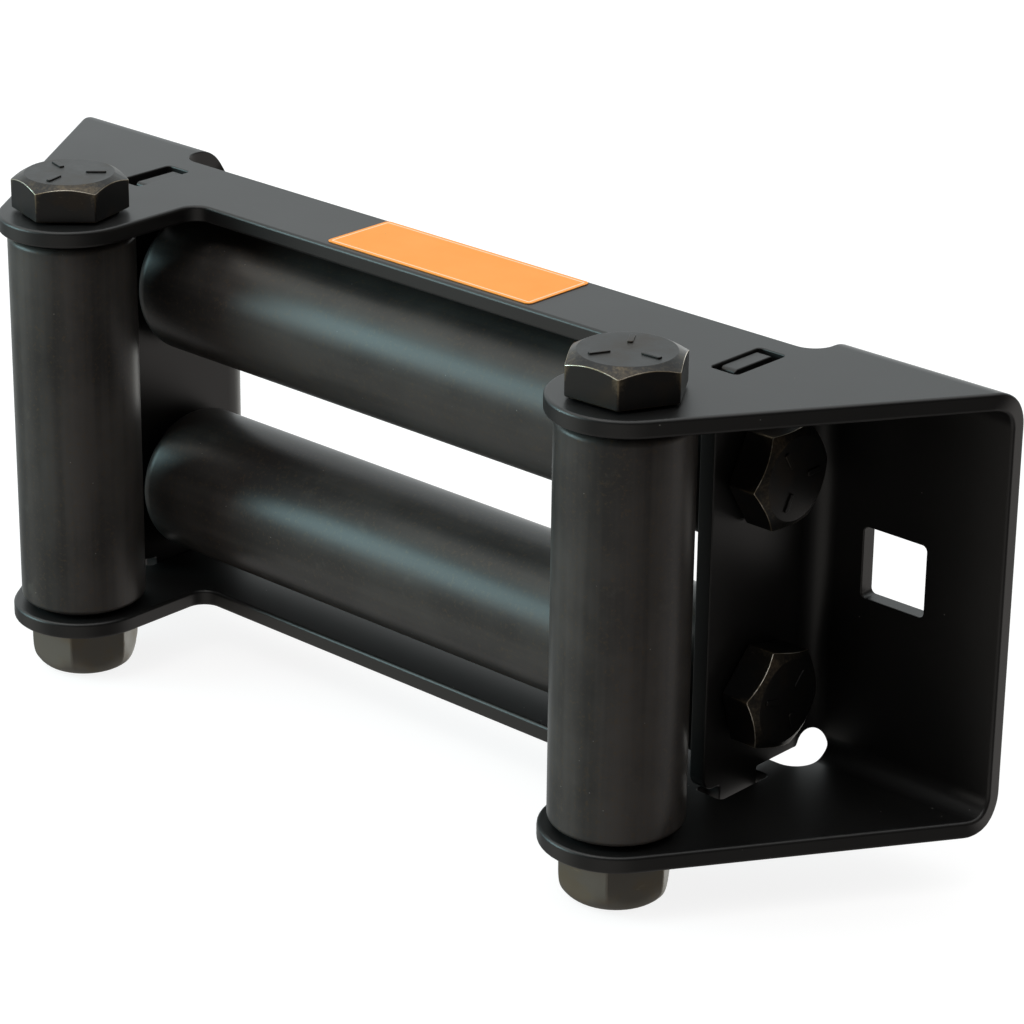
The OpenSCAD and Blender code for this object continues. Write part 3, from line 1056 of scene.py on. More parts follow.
@dataclass(frozen=True)
class Hexagon:
    """A hexagon with slightly rounded corners."""

    across: float
    turn: float
    corner_r: float = 0.7
    worn_reach: float = 2.2
    corner_points: int = 7
    side_points: int = 9

    @property
    def apothem(self) -> float:
        """Half of the width across the flats."""
        return self.across / 2

    @property
    def centre_r(self) -> float:
        """How far out the corners' centres lie."""
        return (self.apothem - self.corner_r) / math.cos(math.pi / 6)

    @property
    def corner_angle(self) -> float:
        """Half of the angle that a rounded corner takes."""
        reach = self.centre_r + self.corner_r * math.cos(math.pi / 6)
        return math.atan2(self.corner_r * math.sin(math.pi / 6), reach)

    def off_corner(self, angle: float) -> float:
        """Gives the angle from the nearest corner."""
        sixth = math.pi / 3
        return (angle - math.radians(self.turn) + sixth / 2) % sixth - sixth / 2

    def radius(self, angle: float) -> float:
        """Gives the hexagon's radius at an angle.

        Args:
            angle: The angle in radians.

        Returns:
            The radius in millimetres.
        """
        off = abs(self.off_corner(angle))
        if off >= self.corner_angle:
            return self.apothem / math.cos(math.pi / 6 - off)
        reach = self.centre_r
        return reach * math.cos(off) + math.sqrt(self.corner_r**2 - (reach * math.sin(off)) ** 2)

    def at_corner(self, angle: float) -> float:
        """Gives how close an angle is to a corner, from 0 to 1."""
        return max(0.0, 1 - abs(self.off_corner(angle)) / (self.worn_reach * self.corner_angle))

    def angles(self) -> list[float]:
        """Gives angles around the hexagon that are close together at its corners."""
        tight = self.corner_angle
        third = math.pi / 3 - tight
        corner = np.linspace(-tight, tight, self.corner_points)
        sector = [*corner, *np.linspace(tight, third, self.side_points)[1:-1]]
        return [math.radians(self.turn) + math.pi / 3 * i + off for i in range(6) for off in sector]


@dataclass
class Bracket:
    """The bracket: one folded sheet, worked out flat and then bent."""

    # Sheet and folds
    sheet_t: float = 4.5
    fold_r: float = 5.5
    cheek_fold_r: float = 6.0
    edge_r: float = 0.9
    # Flanges and ears
    flange_front: float = 41.6
    window_rear: float = 16.4
    window_r: float = 6.0
    ear_r: float = 19.0
    ear_fillet_r: float = 5.0
    slant_rear: float = 7.6
    slant_r: float = 14.0
    bolt_hole_r: float = 8.5
    # Reliefs where a cheek's fold meets a flange's fold
    notch_gap: float = 0.6
    relief_r: float = 5.7
    relief_rise: float = 0.9
    relief_stop: float = 10.0
    relief_ease: tuple[Point, ...] = ((0.15, 0.32), (0.5, 0.08), (1.0, 0.0))
    # Cheeks and their tabs
    cheek_gap: float = 1.6
    cheek_front: float = 44.96
    cheek_inner_x: float = 99.0
    cheek_r: float = 4.0
    tab_rear: float = 24.4
    tab_front: float = 38.6
    tab_below: float = 0.6
    tab_r: float = 1.2
    tab_root_r: float = 0.7
    # Slots for the tabs, and square mounting holes
    slot_middle: Point = (102.65, 32.75)
    slot_size: Point = (8.1, 18.3)
    slot_r: float = 1.2
    square_w: float = 18.6
    square_r: float = 1.4
    # How finely the edges and the folds are divided
    fine_step: float = 0.85
    coarse_step: float = 4.0
    step_margin: float = 4.5
    bolt_hole_steps: int = 72
    relief_steps: int = 22
    fold_rows: int = 12
    row_inset: float = 0.8
    row_step: float = 2.0
    beside_fold: tuple[float, ...] = (0.7, 1.8, 3.4, 5.6)
    box: NodeBox = field(default_factory=lambda: NodeBox.of("bracket"))

    def __post_init__(self) -> None:
        """Works out the flat sheet's lines from the sizes."""
        self.half_w = self.box.size.x / 2
        self.half_h = self.box.size.z / 2
        self.outer_r = self.fold_r + self.sheet_t
        self.mid_r = self.fold_r + self.sheet_t / 2
        self.bend = self.mid_r * math.pi / 2
        self.flange_start = self.half_h - self.outer_r
        self.flange_end = self.flange_start + self.bend
        self.cheek_outer_r = self.cheek_fold_r + self.sheet_t
        self.cheek_mid_r = self.cheek_fold_r + self.sheet_t / 2
        self.cheek_start = self.cheek_inner_x + self.cheek_outer_r
        self.cheek_end = self.cheek_start - self.cheek_mid_r * math.pi / 2
        self.cheek_half_h = self.half_h - self.sheet_t - self.cheek_gap
        joints = {joint["name"]: [part / MM for part in joint["pos_m"]] for joint in frame["joints"]}
        right, upper = joints["right_vertical_spin"], joints["upper_horizontal_spin"]
        self.ear = (right[0], self.on_flange(-right[1]))
        self.cheek_hole = (self.on_cheek(-upper[1]), upper[2] - self.box.middle.z)
        self.square = (frame["record"]["mounts"][0]["dims"]["spacing_x_mm"] / 2, -self.box.middle.z)

    def on_flange(self, forward: float) -> float:
        """Gives the flat sheet's line for a distance in front of the mounting face, on a flange."""
        return self.flange_end + forward - self.outer_r

    def on_cheek(self, forward: float) -> float:
        """Gives the flat sheet's line for a distance in front of the mounting face, on a cheek."""
        return self.cheek_end - (forward - self.cheek_outer_r)

    def step(self, point: Point) -> float:
        """Gives the longest piece of an edge that is allowed near a point: short on the folds."""
        u, v = abs(point[0]), abs(point[1])
        margin = self.step_margin
        on_channel = self.flange_start - margin < v < self.flange_end + margin and u > self.cheek_start
        on_cheek = self.cheek_end - margin < u < self.cheek_start + margin and v < self.split
        return self.fine_step if on_channel or on_cheek else self.coarse_step

    @property
    def split(self) -> float:
        """The line between the cheeks' tabs and the flanges on the flat sheet."""
        return self.half_h + self.cheek_gap

    def lay(self, flat: np.ndarray, height: np.ndarray) -> np.ndarray:
        """Bends points of the flat sheet.

        Args:
            flat: Points on the middle of the flat sheet.
            height: Their distance from it, towards the rear.

        Returns:
            Their places on the folded sheet, about the middle of the bracket.
        """
        u, v = flat[:, 0], flat[:, 1]
        side, level = np.sign(u), np.sign(v)
        cheek = (np.abs(u) < self.cheek_start) & (np.abs(v) < self.split)
        run = np.where(cheek, self.cheek_start - np.abs(u), np.abs(v) - self.flange_start)
        radius = np.where(cheek, self.cheek_mid_r, self.mid_r)
        turn = np.clip(run / radius, 0, math.pi / 2)
        along = np.where(run < 0, run, radius * np.sin(turn)) + height * np.sin(turn)
        across = radius * (1 - np.cos(turn)) + np.maximum(run - radius * math.pi / 2, 0)
        x = np.where(cheek, side * (self.cheek_start - along), u)
        y = -self.sheet_t / 2 - across + height * np.cos(turn)
        z = np.where(cheek, v, level * (self.flange_start + along))
        return np.stack([x, y, z], axis=1)

    def outer(self) -> list[Point]:
        """Draws the flat sheet's outer edge.

        Returns:
            The loop.
        """
        ear_x, ear_v = self.ear
        inner_x = ear_x - self.ear_r
        end_v = self.on_flange(self.slant_rear)
        gap = Vector((self.half_w - ear_x, end_v - ear_v))
        turn = math.atan2(gap.y, gap.x) + math.acos(self.ear_r / gap.length)
        touch = (ear_x + self.ear_r * math.cos(turn), ear_v + self.ear_r * math.sin(turn))
        slope = (end_v - touch[1]) / (self.half_w - touch[0])
        tip_v = touch[1] + slope * (inner_x - touch[0])
        front_v = self.on_flange(self.flange_front)
        quarter = (
            Outline()
            .to(0, front_v)
            .to(inner_x, front_v, self.ear_fillet_r)
            .to(inner_x, tip_v, self.ear_r)
            .to(self.half_w, end_v, self.slant_r)
            .to(self.half_w, 0)
        )
        return self.mirrored(quarter)

    def window(self) -> list[Point]:
        """Draws the window that is cut around the cheeks and their tabs.

        Returns:
            The loop.
        """
        notch_u = self.cheek_start + self.notch_gap
        rear_v = self.on_flange(self.window_rear)
        centre = (notch_u - self.relief_r, self.cheek_half_h + self.relief_rise)
        sweep = 180 - math.degrees(math.asin(self.relief_rise / self.relief_r))
        tab_v = self.half_h - self.tab_below
        rear_u, front_u = self.on_cheek(self.tab_rear), self.on_cheek(self.tab_front)
        end_u = self.on_cheek(self.cheek_front)
        meet = centre[0] - self.relief_r * math.cos(math.radians(180 - sweep))
        top = self.cheek_half_h
        quarter = Outline().to(0, rear_v).to(notch_u, rear_v, self.window_r)
        quarter.arc(centre, self.relief_r, 0, self.relief_stop - sweep, self.relief_steps)
        for past, below in self.relief_ease:
            quarter.to(meet - past, top - below)
        quarter.to(rear_u, top, self.tab_root_r).to(rear_u, tab_v, self.tab_r)
        quarter.to(front_u, tab_v, self.tab_r).to(front_u, top, self.tab_root_r)
        quarter.to(end_u, top, self.cheek_r).to(end_u, 0)
        return self.mirrored(quarter)

    def mirrored(self, quarter: Outline) -> list[Point]:
        """Divides a quarter of an edge and mirrors it into a loop."""
        return four_way(divided([point[:2] for point in quarter.points(False)], self.step))

    def holes(self) -> list[list[Point]]:
        """Draws the round, square and slotted holes.

        Returns:
            The loops.
        """
        found: list[list[Point]] = []
        for side in Side:
            for level in Level:
                for u, v in (self.ear, self.cheek_hole):
                    centre = (side.value * u, level.value * v)
                    ring = Outline().arc(centre, self.bolt_hole_r, 0, 360, self.bolt_hole_steps)
                    found.append([point[:2] for point in ring.points(False)[:-1]])
                slot = (side.value * self.slot_middle[0], level.value * self.on_flange(self.slot_middle[1]))
                found.append(Outline.rectangle(slot, self.slot_size, self.slot_r).loop(self.step))
            square = (side.value * self.square[0], self.square[1])
            sides = (self.square_w, self.square_w)
            found.append(Outline.rectangle(square, sides, self.square_r).loop(self.step))
        return found

    def fold_points(self) -> list[Point]:
        """Sets rows of points along the folds and just beside them, so that only the folds bend.

        Returns:
            The points on the flat sheet.
        """
        found: list[Point] = []
        beside = np.array(self.beside_fold)
        for side in Side:
            for v in self.rows(self.flange_start, self.flange_end, beside):
                for u in np.arange(self.half_w - self.row_inset, self.cheek_start, -self.row_step):
                    found.extend((side.value * u, level.value * v) for level in Level)
            for u in self.rows(self.cheek_end, self.cheek_start, beside):
                for v in np.arange(-self.cheek_half_h, self.cheek_half_h, self.row_step):
                    found.append((side.value * u, v))
        return found

    def rows(self, start: float, end: float, beside: np.ndarray) -> np.ndarray:
        """Gives the lines of the rows on a fold and beside it."""
        return np.concatenate([start - beside, np.linspace(start, end, self.fold_rows + 1), end + beside])

    def build(self, finish: Finish) -> bpy.types.Object:
        """Makes the folded sheet.

        Args:
            finish: The coat.

        Returns:
            The piece.
        """
        shape = Shape()
        holes = [self.window(), *self.holes()]
        Plate(self.outer(), self.sheet_t, self.edge_r, self.lay, holes, self.fold_points()).add_to(shape)
        made = shape.piece("bracket_sheet", Matrix.Translation((0, 0, self.box.middle.z)), finish)
        return stand_for(made, "bracket", FRAME_BODY)


@dataclass
class Roller:
    """One roller: a coated tube with a flanged bush in each end."""

    axle: Axle
    # Tube
    bore_r: float = 12.0
    bore_round_r: float = 0.5
    round_r: float = 1.6
    round_steps: int = 9
    around: int = 144
    # Bushes
    bush_clear: float = 0.15
    bush_bore_r: float = 8.08
    flange_t: float = 1.0
    bush_lead_r: float = 0.4
    bush_nose_r: float = 0.6
    bush_root_r: float = 0.2
    bush_rim_r: float = 0.35
    bush_steps: int = 4
    bush_around: int = 96

    def __post_init__(self) -> None:
        """Reads the tube's box and turns Z into its axis."""
        self.box = NodeBox.of(f"{self.axle.value}_roller")
        along = self.box.size.z if self.axle.stands else self.box.size.x
        self.half = along / 2
        self.radius = self.box.size.y / 2
        turn = Matrix.Identity(4) if self.axle.stands else Matrix.Rotation(math.pi / 2, 4, "Y")
        self.place = Matrix.Translation(self.box.middle) @ turn
        self.body = f"{self.axle.value}_roller_body"

    def tube(self, finish: Finish) -> bpy.types.Object:
        """Makes the tube.

        Args:
            finish: The coat.

        Returns:
            The piece.
        """
        half, inner = self.half, self.bore_r
        section = (
            Outline()
            .to(inner, -half, self.bore_round_r)
            .to(self.radius, -half, self.round_r)
            .to(self.radius, half, self.round_r)
            .to(inner, half, self.bore_round_r)
            .points(True, self.round_steps)
        )
        shape = Shape()
        Turned(lambda turn: section, full_turn(self.around), True).add_to(shape)
        made = shape.piece(f"{self.axle.value}_tube", self.place, finish)
        return stand_for(made, f"{self.axle.value}_roller", self.body)

    def bush(self, node: str, end: int, finish: Finish) -> bpy.types.Object:
        """Makes one bush.

        Args:
            node: The node that it stands for.
            end: -1 at the low end of the tube, or 1 at the high end.
            finish: The plastic.

        Returns:
            The piece.
        """
        box = NodeBox.of(node)
        flange_r = box.size.y / 2
        length = (box.size.z if self.axle.stands else box.size.x) - self.flange_t
        sleeve_r = self.bore_r - self.bush_clear
        section = (
            Outline()
            .to(self.bush_bore_r, -length, self.bush_lead_r)
            .to(sleeve_r, -length, self.bush_nose_r)
            .to(sleeve_r, 0, self.bush_root_r)
            .to(flange_r, 0, self.bush_root_r)
            .to(flange_r, self.flange_t, self.bush_rim_r)
            .to(self.bush_bore_r, self.flange_t, self.bush_rim_r)
            .points(True, self.bush_steps)
        )
        shape = Shape()
        Turned(lambda turn: section, full_turn(self.bush_around), True).add_to(shape)
        flip = Matrix.Identity(4) if end > 0 else Matrix.Rotation(math.pi, 4, "Y")
        place = self.place @ flip @ Matrix.Translation((0, 0, self.half))
        made = shape.piece(f"{node}_sleeve", place, finish)
        return stand_for(made, node, self.body)

    def build(self, coat: Finish, plastic: Finish) -> list[bpy.types.Object]:
        """Makes the roller's three pieces.

        Args:
            coat: The tube's coat.
            plastic: The bushes' plastic.

        Returns:
            The pieces.
        """
        made = [self.tube(coat)]
        made += [self.bush(node, end, plastic) for node, end in zip(self.axle.bushes, (-1, 1))]
        return made


@dataclass
class BoltSet:
    """One bolt with its lock nut and the nylon ring in the nut's collar."""

    axle: Axle
    turn: float
    nut_turn: float
    head_af: float
    nut_af: float
    # Head
    head_h: float = 10.4
    flat_share: float = 0.88
    flat_edge_r: float = 0.5
    hex_edge_r: float = 0.35
    chamfer_angle: float = 30.0
    washer_h: float = 0.8
    washer_share: float = 0.94
    # Shank and thread
    neck: float = 0.4
    bolt_r: float = 8.0
    bolt_chamfer: float = 1.2
    thread_len: float = 17.0
    pitch: float = 2.0
    thread_depth: float = 1.0
    thread_fade: float = 4.0
    tip_share: float = 0.97
    # Raised marks on the head
    mark_count: int = 3
    mark_w: float = 1.4
    mark_h: float = 0.4
    mark_sunk: float = 0.3
    mark_inner: float = 0.16
    mark_outer: float = 0.36
    mark_corner_r: float = 0.45
    mark_edge_r: float = 0.2
    mark_step: float = 2.0
    # Nut with its domed collar
    nut_hex_h: float = 10.4
    nut_bore_r: float = 8.05
    nut_lead: float = 0.8
    nut_lead_r: float = 0.1
    nut_edge_r: float = 0.3
    nut_foot: float = 0.05
    collar_share: float = 0.97
    dome_foot: float = 4.6
    dome_wide: float = 0.4
    dome_lip_r: float = 9.4
    dome_ease: float = 1.0
    lip_r: float = 8.8
    lip_edge_r: float = 0.25
    # Nylon ring
    ring_r: float = 10.0
    ring_h: float = 2.9
    ring_gap: float = 0.02
    ring_lead_r: float = 0.5
    ring_foot_r: float = 0.3
    ring_edge_r: float = 0.2
    # Wear of the edges, from the top of the head down; on the chamfer and its arcs it is also painted
    # highlight
    top_wear_and_highlight: tuple[float, ...] = (0.0, 0.12, 0.2, 0.26, 0.3)
    arc_wear_and_highlight: tuple[float, ...] = (0.3, 0.8, 1.0, 0.8)
    arc_end_wear: float = 0.2
    foot_wear: tuple[float, ...] = (0.45, 0.6, 0.4, 0.0)
    corner_wear: float = 0.8
    side_wear: float = 0.15
    tip_wear: float = 0.3
    mark_wear: float = 0.25
    # How finely the sections are divided
    edge_steps: int = 4
    pitch_steps: int = 6
    nut_steps: int = 5
    dome_steps: int = 18
    ring_around: int = 72

    def __post_init__(self) -> None:
        """Places the head's seat and the nut's seat from the boxes."""
        bolt = NodeBox.of(f"{self.axle.value}_bolt")
        nut = NodeBox.of(f"{self.axle.value}_nut")
        raised = self.head_h + self.mark_h
        self.collar_r = self.nut_af / 2 * self.collar_share
        if self.axle.stands:
            axis = Vector((nut.middle.x, nut.middle.y, 0))
            head_seat, nut_seat = Vector((0, 0, bolt.high.z - raised)), Vector((0, 0, nut.high.z))
            head_way, nut_way = Matrix.Identity(4), Matrix.Rotation(math.pi, 4, "X")
            self.length, self.nut_h = bolt.size.z - raised, nut.size.z
        else:
            axis = Vector((0, nut.middle.y, nut.middle.z))
            head_seat, nut_seat = Vector((bolt.high.x - raised, 0, 0)), Vector((nut.high.x, 0, 0))
            head_way, nut_way = (Matrix.Rotation(turn, 4, "Y") for turn in (math.pi / 2, -math.pi / 2))
            self.length, self.nut_h = bolt.size.x - raised, nut.size.x
        self.head = Matrix.Translation(axis + head_seat) @ head_way
        self.nut = Matrix.Translation(axis + nut_seat) @ nut_way

    def bolt_section(self, hexagon: Hexagon, angle: float) -> list[tuple[float, float, float]]:
        """Draws the bolt's section at an angle, from the top of the head down to the end.

        Args:
            hexagon: The head.
            angle: The angle in radians.

        Returns:
            Points with their radius, height and wear.
        """
        wide = hexagon.radius(angle)
        flat_r = hexagon.apothem * self.flat_share
        slope = math.tan(math.radians(self.chamfer_angle))
        shoulder = self.head_h - (wide - flat_r) * slope
        end = -self.length
        washer_r = hexagon.apothem * self.washer_share
        head = (
            Outline()
            .to(0, self.head_h)
            .to(flat_r, self.head_h, self.flat_edge_r)
            .to(wide, shoulder, self.hex_edge_r)
            .to(wide, self.washer_h, self.hex_edge_r)
            .to(washer_r, self.washer_h)
            .to(washer_r, 0)
            .to(self.bolt_r + self.neck, 0)
            .to(self.bolt_r, -self.neck)
            .points(False, self.edge_steps)
        )
        corner = hexagon.at_corner(angle)
        # Painted highlight: the chamfer and arc weights stand for warm reflections and bright edge light as
        # well as wear.
        arc = (*self.arc_wear_and_highlight, max(self.arc_end_wear, self.corner_wear * corner))
        foot = (self.side_wear * corner, *self.foot_wear)
        weights = [0.0, *self.top_wear_and_highlight, *arc, *foot] + [0.0] * len(head)
        worn = [(r, z, weight) for (r, z, _), weight in zip(head, weights)]
        thread = []
        steps = int(self.thread_len / self.pitch * self.pitch_steps)
        for k in range(steps + 1):
            z = end + self.bolt_chamfer + self.thread_len * (1 - k / steps)
            fade = min(1.0, self.thread_fade * k / steps)
            wave = 0.5 + 0.5 * math.cos(2 * math.pi * z / self.pitch + angle)
            thread.append((self.bolt_r - self.thread_depth * fade * wave, z, 0.0))
        tip = self.bolt_r - self.bolt_chamfer
        return worn + thread + [(tip, end, self.tip_wear), (tip * self.tip_share, end, 0.0), (0.0, end, 0.0)]

    def bolt(self, finish: Finish) -> bpy.types.Object:
        """Makes the bolt with the raised marks on its head.

        Args:
            finish: The steel's finish.

        Returns:
            The piece.
        """
        shape = Shape()
        hexagon = Hexagon(self.head_af, self.turn)
        Turned(lambda angle: self.bolt_section(hexagon, angle), hexagon.angles(), False).add_to(shape)
        inner, outer = self.head_af * self.mark_inner, self.head_af * self.mark_outer
        thick = self.mark_h + self.mark_sunk
        middle, size = ((inner + outer) / 2, 0.0), (outer - inner, self.mark_w)
        outline = Outline.rectangle(middle, size, self.mark_corner_r)
        loop = outline.loop(lambda point: self.mark_step)
        for i in range(self.mark_count):
            turn = math.radians(self.turn + 360 / self.mark_count * i)

            def lay(flat: np.ndarray, height: np.ndarray, turn: float = turn) -> np.ndarray:
                """Lays a mark on the head."""
                x = flat[:, 0] * math.cos(turn) - flat[:, 1] * math.sin(turn)
                y = flat[:, 0] * math.sin(turn) + flat[:, 1] * math.cos(turn)
                return np.stack([x, y, self.head_h + self.mark_h - thick / 2 + height], axis=1)

            mark = Plate(loop, thick, self.mark_edge_r, lay, edge_steps=3, edge_wear=self.mark_wear)
            mark.add_to(shape)
        made = shape.piece(f"{self.axle.value}_hex_bolt", self.head, finish)
        return stand_for(made, f"{self.axle.value}_bolt", FRAME_BODY)

    def nut_section(self, hexagon: Hexagon, angle: float) -> list[tuple[float, float, float]]:
        """Draws the nut's section at an angle.

        Args:
            hexagon: The nut's hexagon.
            angle: The angle in radians.

        Returns:
            Points with their radius, height and wear.
        """
        wide = hexagon.radius(angle)
        seat_fall = (wide - self.collar_r) * math.tan(math.radians(self.chamfer_angle))
        top = self.nut_h
        outline = (
            Outline()
            .to(self.nut_bore_r, self.nut_lead)
            .to(self.nut_bore_r + self.nut_lead, 0, self.nut_lead_r)
            .to(self.collar_r, 0, self.nut_edge_r)
            .to(wide, seat_fall + self.nut_foot, self.nut_edge_r)
        )
        wide_r = hexagon.apothem / math.cos(math.pi / 6) + self.dome_wide
        for k in range(self.dome_steps + 1):
            rise = math.sin(math.pi / 2 * k / self.dome_steps)
            dome = self.dome_lip_r + (wide_r - self.dome_lip_r) * math.sqrt(1 - rise**2)
            ease = max(self.dome_ease - abs(wide - dome), 0) ** 2 / (4 * self.dome_ease)
            outline.to(min(wide, dome) - ease, self.dome_foot + (top - self.dome_foot) * rise)
        return (
            outline
            .to(self.lip_r, top, self.lip_edge_r)
            .to(self.lip_r, self.nut_hex_h + self.ring_h)
            .to(self.ring_r, self.nut_hex_h + self.ring_h)
            .to(self.ring_r, self.nut_hex_h)
            .to(self.nut_bore_r, self.nut_hex_h)
            .points(True, self.nut_steps)
        )

    def lock_nut(self, finish: Finish) -> bpy.types.Object:
        """Makes the lock nut.

        Args:
            finish: The steel's finish.

        Returns:
            The piece.
        """
        shape = Shape()
        hexagon = Hexagon(self.nut_af, self.nut_turn)
        Turned(lambda angle: self.nut_section(hexagon, angle), hexagon.angles(), True).add_to(shape)
        made = shape.piece(f"{self.axle.value}_lock_nut", self.nut, finish)
        return stand_for(made, f"{self.axle.value}_nut", FRAME_BODY)

    def ring(self, finish: Finish) -> bpy.types.Object:
        """Makes the nylon ring.

        Args:
            finish: The plastic.

        Returns:
            The piece.
        """
        low, high = self.nut_hex_h + self.ring_gap, self.nut_hex_h + self.ring_h - self.ring_gap
        outer = self.ring_r - self.ring_gap
        section = (
            Outline()
            .to(self.nut_bore_r, low, self.ring_foot_r)
            .to(outer, low, self.ring_edge_r)
            .to(outer, high, self.ring_edge_r)
            .to(self.nut_bore_r, high, self.ring_lead_r)
            .points(True, self.edge_steps)
        )
        shape = Shape()
        Turned(lambda turn: section, full_turn(self.ring_around), True).add_to(shape)
        made = shape.piece(f"{self.axle.value}_nylon_ring", self.nut, finish)
        return stand_for(made, f"{self.axle.value}_nut_ring", FRAME_BODY)

    def build(self, bolt_steel: Finish, nut_steel: Finish, plastic: Finish) -> list[bpy.types.Object]:
        """Makes the bolt, the nut and the ring.

        Args:
            bolt_steel: The bolt's finish.
            nut_steel: The nut's finish.
            plastic: The ring's plastic.

        Returns:
            The pieces.
        """
        return [self.bolt(bolt_steel), self.lock_nut(nut_steel), self.ring(plastic)]


@dataclass
class BlankLabel:
    """The blank label on the upper flange."""

    corner_r: float = 1.5
    edge_r: float = 0.08
    side_step: float = 4.0
    box: NodeBox = field(default_factory=lambda: NodeBox.of("label"))

    def build(self) -> bpy.types.Object:
        """Makes the label.

        Returns:
            The piece.
        """
        middle, size = self.box.middle, self.box.size

        def lay(flat: np.ndarray, height: np.ndarray) -> np.ndarray:
            """Lays the label on the flange."""
            return np.stack([flat[:, 0], flat[:, 1], middle.z + height], axis=1)

        outline = Outline.rectangle(tuple(middle.xy), tuple(size.xy), self.corner_r)
        loop = outline.loop(lambda point: self.side_step)
        shape = Shape()
        Plate(loop, size.z, self.edge_r, lay, edge_steps=3).add_to(shape)
        finish = LabelVinyl("orange_vinyl", tuple(middle.xy), tuple(size.xy / 2), self.corner_r)
        made = shape.piece("blank_label", Matrix.Identity(4), finish)
        return stand_for(made, "label", FRAME_BODY)


@dataclass(frozen=True)
class Glow:
    """A soft patch of light in the studio's surroundings."""

    azimuth: float
    elevation: float
    inner: float
    outer: float
    strength: float
    tint: Colour = (1.0, 1.0, 1.0)

    def way(self) -> tuple[float, float, float]:
        """Gives the direction of its middle."""
        return bearing(self.azimuth, self.elevation)


@dataclass(frozen=True)
class SoftBox:
    """A rectangular lamp that looks at the object."""

    name: str
    azimuth: float
    elevation: float
    distance: float
    size: Point
    radiance: float
    tint: Colour = (1.0, 1.0, 1.0)


def bearing(azimuth: float, elevation: float) -> tuple[float, float, float]:
    """Gives a direction from the object.

    Args:
        azimuth: Degrees from -Y towards +X.
        elevation: Degrees above the floor.

    Returns:
        A unit vector.
    """
    turn, rise = math.radians(azimuth), math.radians(elevation)
    return (math.sin(turn) * math.cos(rise), -math.cos(turn) * math.cos(rise), math.sin(rise))


